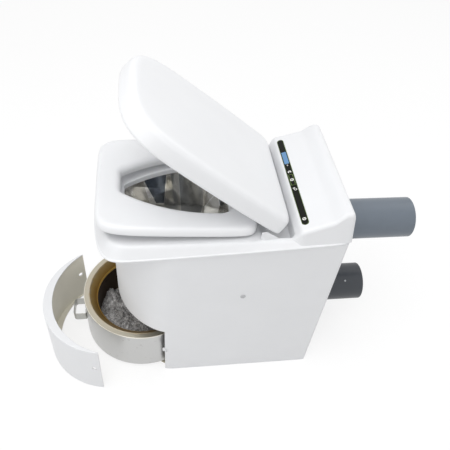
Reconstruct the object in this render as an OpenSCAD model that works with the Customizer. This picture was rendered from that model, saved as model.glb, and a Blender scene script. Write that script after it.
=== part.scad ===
// Incinerating toilet with its ash container drawn out and its front cover taken off.
// X runs across the toilet, -Y is the front, +Y the back wall side, and Z = 0 is the floor.

/* [Lower shell] */
// Half-width of the lower shell at the floor
shell_hw_floor = 186; // [180:1:195]
// Half-width of the lower shell under the top cover
shell_hw_top = 190; // [186:1:197]
// Distance of the shell's back wall from the centre at the floor
shell_rear_floor = 276; // [270:1:280]
// Distance of the shell's back wall from the centre under the top cover
shell_rear_top = 292; // [284:1:294]
// Distance of the rounded front from the centre
shell_front = 268; // [264:1:275]
// How much the radius of the arc across the front exceeds the shell's half-width
nose_more = 13; // [8:1:25]
// Radius of the two arcs where the front meets the sides
cheek_r = 110; // [95:1:125]
// Radius of the two rear corners
shell_corner_r = 10; // [8:1:14]
// Wall of the lower shell
shell_wall = 3.5; // [2.5:0.25:4.5]
// Height of the front opening for the ash container
opening_h = 190; // [185:1:200]
// How far forward of the centre the side edges of the front opening stand
opening_edge = 143; // [138:1:150]

/* [Top cover] */
// Half-width of the top cover over its lower bead
cover_hw = 195; // [194:1:202]
// Distance of the top cover's front from the centre
cover_front = 304; // [300:1:308]
// Distance of the top cover's back from the centre
cover_rear = 296; // [294:1:300]
// Height of the cover's lower edge, over the centre
lip_z = 500; // [492:1:504]
// Rise of the cover's lower edge towards the back, per unit of depth
lip_rise = 0.05; // [0.03:0.005:0.06]
// Height of the platform that carries the seat
platform_z = 524; // [521:1:526]
// Wall of the top cover
cover_wall = 4; // [3:0.25:5]
// Height of the bead round the cover's lower edge
bead_h = 6; // [5:0.5:7]
// Where the console starts to rise behind the seat
console_start = 152; // [150:1:155]
// Height of the first, steep rise of the console
console_step = 27; // [24:1:30]
// Even slope of the console behind the steep rise
console_slope = 0.33; // [0.3:0.01:0.36]
// Height of the last rise towards the back edge
console_lift = 12.5; // [10:0.5:15]
// Radius along the console's side edges
console_edge_r = 11; // [8:1:13]
// Depth of the hinge trough behind the seat, below the platform
trough_depth = 25; // [23:1:26]

/* [Seat and bowl opening] */
// Half-width of the opening in the seat
opening_hw = 105; // [100:1:110]
// Distance of the opening's front edge from the centre
opening_front = 235; // [230:1:240]
// Distance of the opening's rear edge from the centre
opening_rear = 26; // [22:1:30]
// Radius of the long side curves of the opening
opening_side_r = 354; // [340:1:370]
// Radius of the rear corners of the opening
opening_rear_r = 34; // [28:1:40]
// Radius of the front corners of the opening
opening_front_r = 14; // [12:1:18]
// How far the top cover shows inside the seat's opening
ledge_w = 5; // [4:0.5:6]
// Radius of the rolled edge round the opening
opening_roll = 16; // [12:1:17]
// Half-width of the seat
seat_hw = 169; // [168:1:170]
// Distance of the seat's front from the centre
seat_front = 294; // [290:1:296]
// Opening angle of the seat as it stands
seat_open = 3.2; // [0:0.1:4]
// Thickness of the seat
seat_t = 24; // [22:1:26]
// Height of the pads under the seat
seat_pad_h = 4.7; // [4:0.1:6]
// Wall of the seat moulding
seat_wall = 4; // [3:0.25:5]

/* [Lid] */
// Half-width of the lid near its hinge
lid_hw = 168; // [165:1:169]
// Reach of the lid from its hinge to its front
lid_reach = 408; // [398:1:410]
// Reach of the lid behind its hinge
lid_tail = 49; // [44:1:50]
// Thickness of the lid
lid_t = 46.5; // [43:0.5:47]
// Wall of the lid moulding
lid_wall = 3.5; // [3:0.25:4.5]
// Opening angle of the lid as it stands
lid_open = 39.4; // [39:0.1:45]
// Distance of the hinge line behind the centre
hinge_y = 89; // [88:1:91]
// Radius of the hinge pins
hinge_pin_r = 4; // [3.5:0.1:4.5]
// Radius of the knuckles round the hinge pins
knuckle_r = 9; // [8:0.5:9.5]
// Distance of the hinge posts' inner faces from the middle
post_x = 56; // [50:1:70]
// Width of a hinge post
post_w = 12; // [10:1:13]
// Width of a seat knuckle
seat_knuckle_w = 14; // [12:1:15]
// Width of a lid knuckle
lid_knuckle_w = 12; // [10:1:14]

/* [Control strip] */
// Length of the control strip
strip_l = 320; // [300:1:326]
// Width of the control strip
strip_w = 17; // [16:0.5:18]
// Thickness of the control strip
strip_t = 2; // [1.6:0.1:2.4]
// Distance of the control strip behind the centre
strip_y = 184; // [180:1:186]
// Length of the start key
start_key_l = 43; // [36:1:46]
// Width of the start key
start_key_w = 12; // [10:0.5:12.5]
// Radius of the round lock key
lock_key_r = 5.5; // [4.5:0.25:6]
// Travel of the keys
key_travel = 0.8; // [0.5:0.1:1]
// Length of the display window
display_l = 48; // [40:1:52]
// Width of the display window
display_w = 12.5; // [10:0.5:13]

/* [Front cover] */
// Height of the front cover
front_cover_h = 181; // [174:1:184]
// How much the radius of the front cover exceeds its half-width
front_cover_more = 10; // [8:0.5:13]
// How far each end of the front cover stands inside the side edges of the shell's opening
front_cover_in = 7.46; // [7:0.02:9]
// Wall of the front cover
front_cover_wall = 3.5; // [3:0.25:4]
// Width of the turned-in edges at the middle
front_cover_edge = 25; // [20:1:27]
// Radius of the snap holes near the ends
snap_hole_r = 6.5; // [6:0.25:7.5]
// Height of the snap studs above the floor
stud_z = 100; // [85:1:120]
// Radius of the snap studs
stud_r = 5.2; // [4.5:0.1:5.8]
// Turn of the cover as it stands on the floor
front_cover_turn = 9.9; // [9:0.1:11]
// Place of the standing cover's arc centre, across
front_cover_x = 46.6; // [42:0.2:50]
// Place of the standing cover's arc centre, forward
front_cover_y = 287.7; // [284:0.1:292]

/* [Ash container] */
// Room between the ash container and the half-width of the shell
drum_room = 15; // [14:0.5:18]
// Height of the ash container
drum_h = 137; // [134:1:138]
// Gap under the ash container
drum_lift = 10; // [10:0.5:11]
// Width of the flat steel rim
rim_w = 16; // [14:1:18]
// Width from the container's outside to the inside of the ash pan
pan_in = 39; // [33:1:43]
// Drop from the rim to the top of the pan
pan_drop = 25; // [20:1:28]
// Sheet thickness of the ash container
drum_sheet = 1.5; // [1:0.1:2]
// How far the container is drawn out from its working place
drum_out = 148; // [140:1:150]
// Distance of the combustion chamber's axis in front of the centre
chamber_y = 50; // [50:1:52]
// Width of the handle across
handle_w = 58; // [50:1:66]
// Reach of the handle in front of the container
handle_reach = 36; // [30:1:38]
// Height of the handle strap
handle_h = 28; // [24:1:32]
// Thickness of the handle strap
handle_t = 2.5; // [2:0.1:3]
// Height of the handle's middle above the floor
handle_z = 64; // [58:1:80]

/* [Combustion chamber] */
// How much smaller the radius of the chamber is than the ash container's
chamber_in = 19; // [18:1:23]
// Sheet thickness of the chamber
chamber_sheet = 2; // [1.5:0.1:3]
// Height of the chamber's top plate
chamber_top = 330; // [326:1:336]
// Height of the chamber's lower edge
chamber_base = 152; // [150:0.5:154]
// Thickness of the insulation round the chamber
insulation_t = 22; // [18:0.5:23]
// Distance of the heating element's ring inside the chamber's outside
heater_in = 16; // [10:1:27]
// Radius of the heating element's rod
heater_rod_r = 4.2; // [3.5:0.1:5]
// Height of the heating element
heater_z = 205; // [190:1:240]

/* [Hatch] */
// Distance of each hatch pivot from the middle
pivot_x = 78; // [77:1:80]
// Height of the hatch pivots
pivot_z = 350; // [348:1:354]
// Radius of the hatch axles
axle_r = 4; // [3.5:0.1:4.5]
// Length of each hatch leaf
leaf_l = 146; // [140:1:148]
// Thickness of each hatch leaf
leaf_t = 2; // [1.5:0.1:2.5]
// Distance of the middle of the hatch in front of the centre
hatch_y = 60; // [56:1:62]
// Sheet thickness of the bowl
bowl_sheet = 1.2; // [1:0.1:1.5]

/* [Pipes] */
// Outer radius of both pipes
pipe_r = 55; // [50:1:56]
// Wall of both pipes
pipe_wall = 3.2; // [2.5:0.1:4]
// Height of the exhaust pipe's axis
exhaust_z = 408; // [405:1:412]
// Distance of the exhaust pipe's free end from the centre
exhaust_end = 537; // [500:1:560]
// Height of the air pipe's axis
intake_z = 133; // [125:1:140]
// Distance of the air pipe's free end from the centre
intake_end = 461; // [430:1:480]
// Width of the rubber collars round the pipes
collar_w = 6.5; // [5:0.5:8]
// Length of the rubber collars
collar_l = 14; // [12:1:18]

// Length of the upper pipe that takes a socket
spigot_l = 240; // [200:1:241]
// Depth the upper pipe is turned down over its part inside the shell
neck_cut = 1.5; // [1.2:0.1:1.6]

/* [Fan and machinery] */
// Radius of the fan housing
fan_housing_r = 74; // [72:1:75]
// Depth of the fan housing
fan_housing_l = 56; // [50:1:60]
// Radius of the fan rotor
fan_r = 56; // [50:1:60]
// Number of fan blades
fan_blades = 12; // [8:1:14]
// Radius of the fan shaft
fan_shaft_r = 4; // [3.5:0.1:5]
// Radius of the fan motor
fan_motor_r = 30; // [26:1:33]
// Length of the fan motor
fan_motor_l = 44; // [40:1:46]
// Height of the top of the air box
air_box_top = 236; // [230:1:240]
// Half-width of the air box and the catalyst box
box_hw = 72; // [68:1:76]
// Radius of the duct from the chamber to the catalyst
duct_r = 26; // [22:1:30]

/* [Fits] */
// Radial clearance of every turning or sliding fit
fit = 0.05; // [0.02:0.01:0.1]
// Gap between pieces that are seated on each other
seat_gap = 0.3; // [0.2:0.05:0.4]
// Gap round moving pieces that pass fixed ones
free_gap = 0.6; // [0.5:0.1:0.8]

/* [Hidden] */
$fn = 72;
edge_steps = 5;

// Radii that follow the shell's half-width
function shell_hw(z) = shell_hw_floor + (shell_hw_top - shell_hw_floor) * z / lip_z;
drum_r = min(shell_hw_floor, shell_hw(chamber_base)) - drum_room;
pan_r = drum_r - pan_in;
chamber_r = min(shell_hw_floor, shell_hw(chamber_top)) - drum_room - chamber_in;
heater_r = chamber_r - heater_in;

// Heights that follow from the driving sizes
seat_bottom = platform_z + seat_gap + seat_pad_h;
seat_top = seat_bottom + seat_t;
lid_pad_h = 2.7;
hinge_z = seat_top + seat_gap + lid_pad_h;
trough_z = platform_z - trough_depth;
trough_hw = lid_hw + 0.8;
trough_front = hinge_y - 6;
trough_rear = 160;
trough_r = 6;
collar_h = 14;
seat_rear = hinge_y - knuckle_r;

// Floor level pieces
tray_t = 3;
tray_rim_h = 10;
rail_x = 90;
rail_w = 14;
rail_wall = 2.5;

// Centres of the arcs of the shell's plan
function nose_cy(hw) = hw + nose_more - shell_front;
function cheek_cx(hw) = hw - cheek_r;
function cheek_cy(hw) = nose_cy(hw) - sqrt(pow(hw + nose_more - cheek_r, 2) - pow(cheek_cx(hw), 2));

// Distance of the shell's outside from the middle, at a depth and a height
function side_x(y, z) =
    let (hw = shell_hw(z)) cheek_cx(hw) + sqrt(pow(cheek_r, 2) - pow(min(0, y - cheek_cy(hw)), 2));
side_lean = atan((shell_hw_top - shell_hw_floor) / lip_z);
front_cover_hw = min(side_x(-opening_edge, 0), side_x(-opening_edge, front_cover_h)) - front_cover_in;
front_cover_r = front_cover_hw + front_cover_more;

// Front cover in its working place, with its arc centre on the middle plane
front_cover_cy = -opening_edge - 1 + 5 + sqrt(pow(front_cover_r, 2) - pow(front_cover_hw, 2));
front_cover_tip_y = front_cover_cy - sqrt(pow(front_cover_r, 2) - pow(front_cover_hw, 2));
cover_edge_sag = front_cover_cy - front_cover_r + front_cover_edge - front_cover_tip_y;
cover_edge_hw = front_cover_hw - front_cover_wall;
cover_edge_r = (pow(cover_edge_hw, 2) + pow(cover_edge_sag, 2)) / (2 * -cover_edge_sag);
cover_edge_cy = front_cover_cy - front_cover_r + front_cover_edge + cover_edge_r;

function smooth(t) = let (u = max(0, min(1, t))) u * u * (3 - 2 * u);
function power(v, e) = sign(v) * pow(abs(v), e);
function arc(cx, cy, r, a0, a1, n) =
    [for (i = [0:n]) let (a = a0 + (a1 - a0) * i / n) [cx + r * cos(a), cy + r * sin(a)]];

// Lower edge of the top cover, which rises towards the back
function lip(y) = lip_z + lip_rise * y;

// Plan of the lower shell: one wide arc in front, an arc at each side of it, and rounded rear corners
function shell_plan(hw, rear, inset) =
    let (cx = cheek_cx(hw), cy = cheek_cy(hw), join = atan2(nose_cy(hw) - cy, cx), rr = shell_corner_r)
    concat(
        arc(hw - rr, rear - rr, rr - inset, 0, 90, 6),
        arc(rr - hw, rear - rr, rr - inset, 90, 180, 6),
        arc(-cx, cy, cheek_r - inset, 180, 180 + join, 6),
        [for (p = arc(0, nose_cy(hw), hw + nose_more - inset, 180 + join, 360 - join, 16)) p],
        arc(cx, cy, cheek_r - inset, 360 - join, 360, 6));

// Moulded plan that is nearly square: squareness and taper are set ahead of and behind its widest line,
// and the bow sets how far its front edge curves
function plan(hw, front, mid, rear, bow, square_front, square_rear, taper_front, taper_rear) =
    [for (i = [0:8 * edge_steps - 1])
        let (a = 360 * (i + 0.5) / (8 * edge_steps),
            ahead = sin(a) < 0,
            reach = ahead ? mid - front : rear - mid,
            u = power(sin(a), 2 / (ahead ? square_front : square_rear)),
            k = 1 - (ahead ? taper_front : taper_rear) * u * u)
        [hw * k * power(cos(a), 2 / (ahead ? bow : square_rear)), mid + reach * u]];
function at_z(points, z) = [for (p = points) [p[0], p[1], z]];
function over_lip(points, d) = [for (p = points) [p[0], p[1], lip(p[1]) + d]];

// Opening of the seat, grown outwards by d: flat front, long side curves and round rear corners
egg_side_cx = opening_hw - opening_side_r;
egg_side_cy = -25;
egg_front_cy = opening_front_r - opening_front;
egg_front_cx = egg_side_cx
    + sqrt(pow(opening_side_r - opening_front_r, 2) - pow(egg_front_cy - egg_side_cy, 2));
egg_turn = atan2(egg_side_cy - egg_front_cy, egg_front_cx - egg_side_cx);
function egg(d) =
    let (rx = opening_hw - opening_rear_r, ry = opening_rear - opening_rear_r, rr = opening_rear_r + d)
    concat(
        arc(rx, ry, rr, 0, 90, 6),
        arc(-rx, ry, rr, 90, 180, 6),
        arc(-egg_side_cx, egg_side_cy, opening_side_r + d, 180, 180 + egg_turn, 8),
        arc(-egg_front_cx, egg_front_cy, opening_front_r + d, 180 + egg_turn, 270, 4),
        arc(egg_front_cx, egg_front_cy, opening_front_r + d, 270, 360 - egg_turn, 4),
        arc(egg_side_cx, egg_side_cy, opening_side_r + d, 360 - egg_turn, 360, 8));

// Skin over a stack of outlines that all have the same number of points
module loft(rings) {
    n = len(rings[0]);
    m = len(rings);
    sides = [for (j = [0:m - 2]) for (i = [0:n - 1]) let (k = (i + 1) % n)
        each [[j * n + i, (j + 1) * n + i, (j + 1) * n + k], [j * n + i, (j + 1) * n + k, j * n + k]]];
    base = [for (i = [0:n - 1]) i];
    top = [for (i = [0:n - 1]) m * n - 1 - i];
    polyhedron(points = [for (r = rings) each r], faces = concat([base, top], sides), convexity = 6);
}

module ring(r_out, r_in, h) {
    difference() {
        cylinder(r = r_out, h = h);
        translate([0, 0, -1]) cylinder(r = r_in, h = h + 2);
    }
}

// Tube along +Y, starting at y = 0
module tube_y(r_out, r_in, l) {
    rotate([-90, 0, 0]) ring(r_out, r_in, l);
}

module rod_x(r, l) {
    rotate([0, 90, 0]) cylinder(r = r, h = l);
}

module rod_y(r, l) {
    rotate([-90, 0, 0]) cylinder(r = r, h = l);
}

// Plate with rounded corners, lying flat
module round_plate(l, w, r, h) {
    translate([-l / 2 + r, -w / 2, 0]) cube([l - 2 * r, w, h]);
    translate([-l / 2, -w / 2 + r, 0]) cube([l, w - 2 * r, h]);
    for (x = [-1, 1], y = [-1, 1])
        translate([x * (l / 2 - r), y * (w / 2 - r), 0]) cylinder(r = r, h = h);
}

// Plate with fully round ends, lying flat
module pill(l, w, h) {
    translate([-l / 2 + w / 2, -w / 2, 0]) cube([l - w, w, h]);
    for (x = [-1, 1]) translate([x * (l / 2 - w / 2), 0, 0]) cylinder(r = w / 2, h = h);
}

module both_sides() {
    children();
    mirror([1, 0, 0]) children();
}

// Base and lower shell

module tray_plan(inset) {
    intersection() {
        polygon(shell_plan(min(shell_hw_floor, shell_hw(tray_rim_h)), shell_rear_floor, shell_wall + inset));
        union() {
            translate([0, cover_edge_cy]) circle(r = cover_edge_r - 2 - inset);
            translate([-shell_hw_floor, -opening_edge + 6 + inset])
                square([2 * shell_hw_floor, opening_edge + shell_rear_floor]);
        }
    }
}

module base_tray() color("#CDC8B8") {
    linear_extrude(tray_t) tray_plan(seat_gap);
    difference() {
        linear_extrude(tray_rim_h) tray_plan(seat_gap);
        translate([0, 0, -1]) linear_extrude(tray_rim_h + 2) tray_plan(seat_gap + 2);
        translate([-cover_edge_r, -shell_front, tray_t])
            cube([2 * cover_edge_r, shell_front - opening_edge + 6, tray_rim_h]);
    }
}

module shell_form(inset, drop, raise) {
    loft([
        [for (p = shell_plan(shell_hw_floor, shell_rear_floor, inset)) [p[0], p[1], drop]],
        [for (p = shell_plan(shell_hw_top, shell_rear_top, inset)) [p[0], p[1], lip(p[1]) + raise]]]);
}

module stud_notch() {
    translate([side_x(-opening_edge, stud_z) - 9, -opening_edge - 4, stud_z - stud_r - 1.5])
        cube([24, 11, 2 * stud_r + 3]);
}

widest = max(shell_hw_floor, shell_hw_top);
module body_shell() color("#F3F4F5") {
    difference() {
        shell_form(0, 0, -seat_gap);
        shell_form(shell_wall, -1, 2);
        translate([-widest - 5, -shell_front - 5, -1])
            cube([2 * widest + 10, shell_front + 5 - opening_edge, opening_h + 1]);
        both_sides() stud_notch();
        for (z = [exhaust_z, intake_z])
            translate([0, shell_rear_floor - 40, z]) rod_y(pipe_r + collar_w + seat_gap, 80);
        translate([gland_x, shell_rear_floor - 40, gland_z]) rod_y(gland_r + seat_gap, 80);
        at_side_screws() translate([-10, 0, 0]) rod_x(screw_r + seat_gap, 20);
    }
    // Bracket inside each edge that carries the snap stud
    both_sides() translate([stud_bracket_x, -opening_edge + 7, stud_z - 14])
        cube([side_x(-opening_edge + 7, stud_z) - shell_wall / 2 - stud_bracket_x, 3, 28]);
}

// Top cover

function skirt_plan(inset) =
    plan(cover_hw - inset, -cover_front + inset, 0, cover_rear - inset, 2.3, 16, 26, 0.01, 0.02);

// Outer form of the cover for t = 0, and its hollow for t = cover_wall
module cover_form(t) {
    bead = [
        over_lip(skirt_plan(1.5), 0),
        over_lip(skirt_plan(0), 1.5),
        over_lip(skirt_plan(0), bead_h - 1.5)];
    sides = [for (s = [[3, 0], [8, 0.35], [13, 0.72], [17, 0.92], [21, 1]])
        over_bead(skirt_plan(s[0] + t), s[1], platform_z - t)];
    loft(t > 0 ? sides : concat(bead, sides));
}

// Points at a share of the way from the bead to a height above it
function over_bead(points, share, top) =
    [for (p = points) let (low = min(lip(p[1]) + bead_h, top - 3)) [p[0], p[1], low + share * (top - low)]];

// Height of the console along the middle of the cover
function console_z(y) = platform_z + console_step * smooth((y - console_start) / 22)
    + console_slope * max(0, min(y, 275) - 165) + console_lift * smooth((y - 240) / 32);

// Half-width of the console, which steps out from the platform and rounds off at the rear corners
console_corner_r = 15;
console_edge_drop = 9;
function corner_cut(y) = let (d = y - (cover_rear - console_corner_r))
    d <= 0 ? 0 : console_corner_r - sqrt(max(0, pow(console_corner_r, 2) - d * d));
function console_hw(y) = cover_hw - 22 + 15 * smooth((y - console_start + 8) / 34) - corner_cut(y);
function rear_drop(y) = let (d = y - (cover_rear - 5 - console_edge_drop))
    d <= 0 ? 0 : console_edge_drop - sqrt(max(0, pow(console_edge_drop, 2) - d * d));

function console_section(y, t, floor_z) =
    let (top = console_z(y) - rear_drop(y) - t,
        r = min(console_edge_r - t / 2, max(1, (top - floor_z) * 0.45)),
        low_w = console_hw(y) - t + 1,
        high_w = console_hw(y) - t - 0.13 * (top - platform_z))
    concat([[-low_w, y, floor_z]],
        [for (p = arc(-high_w + r, top - r, r, 180, 90, 5)) [p[0], y, p[1]]],
        [for (p = arc(high_w - r, top - r, r, 90, 0, 5)) [p[0], y, p[1]]],
        [[low_w, y, floor_z]]);

console_stations = concat([for (i = [0:7]) console_start - 4 + i * 4],
    [for (i = [1:8]) console_start + 24 + i * 13.5]);
module console_form(t) {
    rear = cover_rear - 5 - t;
    stations = concat([for (y = console_stations) if (y + t < rear - 5) y + t],
        [for (a = [35, 60, 80]) rear - console_edge_drop * (1 - sin(a))]);
    // The last station leans back to the bead, as the rear face has its draft
    last = console_section(rear, t, lip(rear) + bead_h - 1);
    back = [for (p = last) [p[0], p[1] + 0.055 * (console_z(rear) - p[2]), p[2]]];
    loft(concat([for (y = stations) [for (p = console_section(min(y, rear), t,
        lip(y) + bead_h - 1 - (t > 0 ? 8 : 0)))
        [p[0], p[1] + 0.055 * max(0, y - rear + 30) / 30 * (console_z(rear) - p[2]), p[2]]]],
        [back]));
}

module trough_plan(grow) {
    translate([0, (trough_front + trough_rear) / 2])
        round_rect(2 * trough_hw + 2 * grow, trough_rear - trough_front + 2 * grow, trough_r + grow);
}

// Block of the hinge trough with its walls and floor, before the trough is cut out of it
module trough_tub(h) {
    translate([0, 0, trough_z - cover_wall]) linear_extrude(h) trough_plan(cover_wall);
}

module round_rect(l, w, r) {
    square([l - 2 * r, w], center = true);
    square([l, w - 2 * r], center = true);
    for (x = [-1, 1], y = [-1, 1]) translate([x * (l / 2 - r), y * (w / 2 - r)]) circle(r = r);
}

module at_strip(x) {
    translate([x, strip_y, strip_top_z]) rotate([strip_tilt, 0, 0]) children();
}

module top_cover() color("#F5F6F7") {
    difference() {
        union() {
            cover_form(0);
            console_form(0);
            trough_tub(trough_depth);
        }
        difference() {
            cover_form(cover_wall);
            // Collar round the bowl opening
            translate([0, 0, platform_z - collar_h]) linear_extrude(20) polygon(egg(-ledge_w + cover_wall));
            trough_tub(trough_depth + 20);
        }
        // Well through the floor of the skirt, over the lower shell
        difference() {
            loft([over_lip(shell_plan(shell_hw_top, shell_rear_top, shell_wall + 2), -2),
                over_lip(shell_plan(shell_hw_top, shell_rear_top, shell_wall + 2), bead_h + 2)]);
            trough_tub(trough_depth + 20);
        }
        difference() {
            console_form(cover_wall);
            trough_tub(trough_depth + 20);
        }
        translate([0, 0, platform_z - 30]) linear_extrude(60) polygon(egg(-ledge_w));
        translate([0, 0, trough_z]) linear_extrude(100) trough_plan(0);
        at_strip(0) translate([0, 0, -strip_t - seat_gap])
            pill(strip_l + 2 * seat_gap, strip_w + 2 * seat_gap, 20);
        at_strip(start_key_x) translate([0, 0, -12]) round_plate(start_key_l - 4, start_key_w - 3, 2, 14);
        at_strip(lock_key_x) translate([0, 0, -12]) cylinder(r = lock_key_r - 1.5, h = 14);
    }
}

// Control strip

strip_tilt = atan2(console_z(strip_y + 7) - console_z(strip_y - 7), 14);
strip_top_z = (console_z(strip_y + 7) + console_z(strip_y - 7)) / 2 + 0.6;
start_key_x = 4;
lock_key_x = 142;
display_x = -83;
display_t = 1;

module control_strip() color("#141613") {
    at_strip(0) difference() {
        translate([0, 0, -strip_t]) pill(strip_l, strip_w, strip_t);
        translate([start_key_x, 0, -strip_t - 1])
            round_plate(start_key_l + 2 * seat_gap, start_key_w + 2 * seat_gap, 3 + seat_gap, strip_t + 2);
        translate([lock_key_x, 0, -strip_t - 1]) cylinder(r = lock_key_r + seat_gap, h = strip_t + 2);
        translate([display_x, 0, -display_t]) round_plate(display_l, display_w, 1.5, display_t + 1);
    }
}

module display_window() color("#8FB8DA") {
    at_strip(display_x) translate([0, 0, -display_t + fit])
        round_plate(display_l - 2 * seat_gap, display_w - 2 * seat_gap, 1.5, display_t);
}

module start_key() color("#1B1E19") {
    at_strip(start_key_x) {
        translate([0, 0, key_travel - strip_t]) round_plate(start_key_l, start_key_w, 3, strip_t);
        translate([0, 0, -10]) cylinder(r = 3, h = 10 + key_travel - strip_t);
    }
}

module lock_key() color("#1B1E19") {
    at_strip(lock_key_x) {
        translate([0, 0, key_travel - strip_t]) cylinder(r = lock_key_r, h = strip_t);
        translate([0, 0, -10]) cylinder(r = 2.5, h = 10 + key_travel - strip_t);
    }
}

module control_board() color("#2E6B46") {
    at_strip(0) translate([0, 0, -13.5]) difference() {
        union() {
            translate([0, 6, 0]) round_plate(strip_l - 20, 40, 3, 1.6);
            for (x = [-120, -90, -55]) translate([x, 14, 1.6]) cube([18, 8, 2.2]);
            for (x = [60, 90, 112]) translate([x, 18, -8]) cylinder(r = 5, h = 8);
            // Spacers up to the underside of the console
            for (x = [-1, 1], y = [1, 20]) translate([x * (strip_l / 2 - 28), y, 1.6])
                cylinder(r = 2.5, h = 11.8 - (cover_wall + 0.6) * cos(strip_tilt));
        }
        for (x = [-1, 1]) translate([x * (strip_l / 2 - 18), 20, -1]) cylinder(r = 1.6, h = 5);
    }
}

// Hinges, lid and seat

// Cheek at each side of the trough, which carries the line of the seat on to the raised lid
module hinge_cheeks() color("#F5F6F7") both_sides() translate([trough_hw + 0.3, 0, platform_z + seat_gap])
    rotate([90, 0, 90]) linear_extrude(1.8) polygon([
        [seat_rear + free_gap, 0], [seat_rear + free_gap, seat_top - platform_z - 7],
        [hinge_y + 3, seat_top - platform_z - 6],
        [hinge_y + 7, seat_top - platform_z - 8], [hinge_y + 33, 2.5], [hinge_y + 33, 0]]);

module hinge_posts() color("#E4E5E6") both_sides() {
    difference() {
        union() {
            translate([post_x, hinge_y, hinge_z]) rod_x(knuckle_r - 0.5, post_w);
            translate([post_x, trough_front + free_gap, trough_z + seat_gap])
                cube([post_w, hinge_y + 6 - trough_front - free_gap, hinge_z - trough_z - seat_gap]);
            translate([post_x - 8, hinge_y - 5 + seat_gap, trough_z + seat_gap]) cube([post_w + 16, 24, 4]);
        }
        translate([post_x - 1, hinge_y, hinge_z]) rod_x(hinge_pin_r + fit, post_w + 2);
        for (x = [post_x - 4, post_x + post_w + 4])
            translate([x, hinge_y + 13, trough_z]) cylinder(r = 2, h = 10);
    }
}

seat_knuckle_x = post_x + post_w + 1;
lid_knuckle_x = seat_knuckle_x + seat_knuckle_w + 6;
groove_x = post_x - 2;
groove_w = lid_knuckle_x - groove_x - 2.5;
groove_depth = 14.8;

module hinge_pins() color("#B9BBBE") both_sides() {
    translate([post_x - 1, hinge_y, hinge_z]) rod_x(hinge_pin_r, lid_knuckle_x + lid_knuckle_w - post_x + 1);
}

// Everything of the lid is drawn closed and then turned up about the hinge line
module lid_turn() {
    translate([0, hinge_y, hinge_z]) rotate([-lid_open, 0, 0]) children();
}

function lid_plan(inset) =
    plan(lid_hw - inset, -lid_reach + inset, -60, lid_tail - inset, 3, 10, 14, 0.11, 0.01);

module lid_form(t) {
    loft([
        at_z(lid_plan(4 + t), t > 0 ? -1 : 0),
        at_z(lid_plan(1 + t), 2.5),
        at_z(lid_plan(t), 6),
        at_z(lid_plan(3 + t), lid_t - 14),
        at_z(lid_plan(6 + t), lid_t - 7 - t / 2),
        at_z(lid_plan(11 + t), lid_t - 2.5 - t),
        at_z(lid_plan(19 + t), lid_t - t)]);
}

// Room in the lid's rear wall for the hinge posts and the seat's knuckles
module post_grooves() {
    both_sides() translate([groove_x - 3 - seat_gap, -14, -20])
        cube([groove_w + 6 + 2 * seat_gap, lid_tail + 30, 20 + groove_depth]);
}

module lid_shell() color("#F6F7F8") lid_turn() difference() {
    lid_form(0);
    lid_form(lid_wall);
    post_grooves();
}

liner_t = 3;
module lid_liner() color("#F0F1F2") lid_turn() difference() {
    loft([at_z(lid_plan(3.1 + lid_wall + seat_gap), 0), at_z(lid_plan(0.8 + lid_wall + seat_gap), liner_t)]);
    both_sides() translate([groove_x, -knuckle_r - 2, -1])
        cube([lid_knuckle_x + lid_knuckle_w + seat_gap - groove_x, lid_tail + 30, liner_t + 2]);
    for (x = [-1, 1]) translate([x * lid_pad_x, lid_pad_y, -1]) cylinder(r = 2, h = 10);
}

// Hinge bracket of the lid: its knuckle comes through the liner, its flange lies on the liner's inner face
flange_w = 20;
module lid_hinges() color("#C9CBCD") lid_turn() both_sides() difference() {
    union() {
        translate([lid_knuckle_x, 0, 0]) rod_x(knuckle_r, lid_knuckle_w);
        translate([lid_knuckle_x, -knuckle_r - 4, liner_t + seat_gap])
            cube([lid_knuckle_w + flange_w, 2 * knuckle_r + 8, 2.5]);
    }
    translate([lid_knuckle_x - 1, 0, 0]) rod_x(hinge_pin_r + fit, lid_knuckle_w + 2);
    for (y = [-1, 1])
        translate([lid_knuckle_x + lid_knuckle_w + flange_w / 2, y * knuckle_r * 0.7, 0]) cylinder(r = 2, h = 10);
}

lid_pad_x = 125;
lid_pad_y = 78 - lid_reach;
module lid_pads() color("#D9DADB") lid_turn()
    for (x = [-1, 1]) translate([x * lid_pad_x, lid_pad_y, 0]) {
        translate([0, 0, -lid_pad_h]) cylinder(r = 7, h = lid_pad_h);
        cylinder(r = 2 - fit, h = liner_t + 2);
    }

seat_mid = -20;
function seat_plan(inset) =
    plan(seat_hw - inset, -seat_front + inset, seat_mid, seat_rear - inset, 8.5, 8.5, 8, 0.03, 0.02);
seat_pad_spots = [[-138, -225], [138, -225], [-142, 50], [142, 50]];

// Everything of the seat is drawn closed and then turned up about the hinge line
module seat_turn() {
    translate([0, hinge_y, hinge_z]) rotate([-seat_open, 0, 0]) translate([0, -hinge_y, -hinge_z]) children();
}

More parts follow.
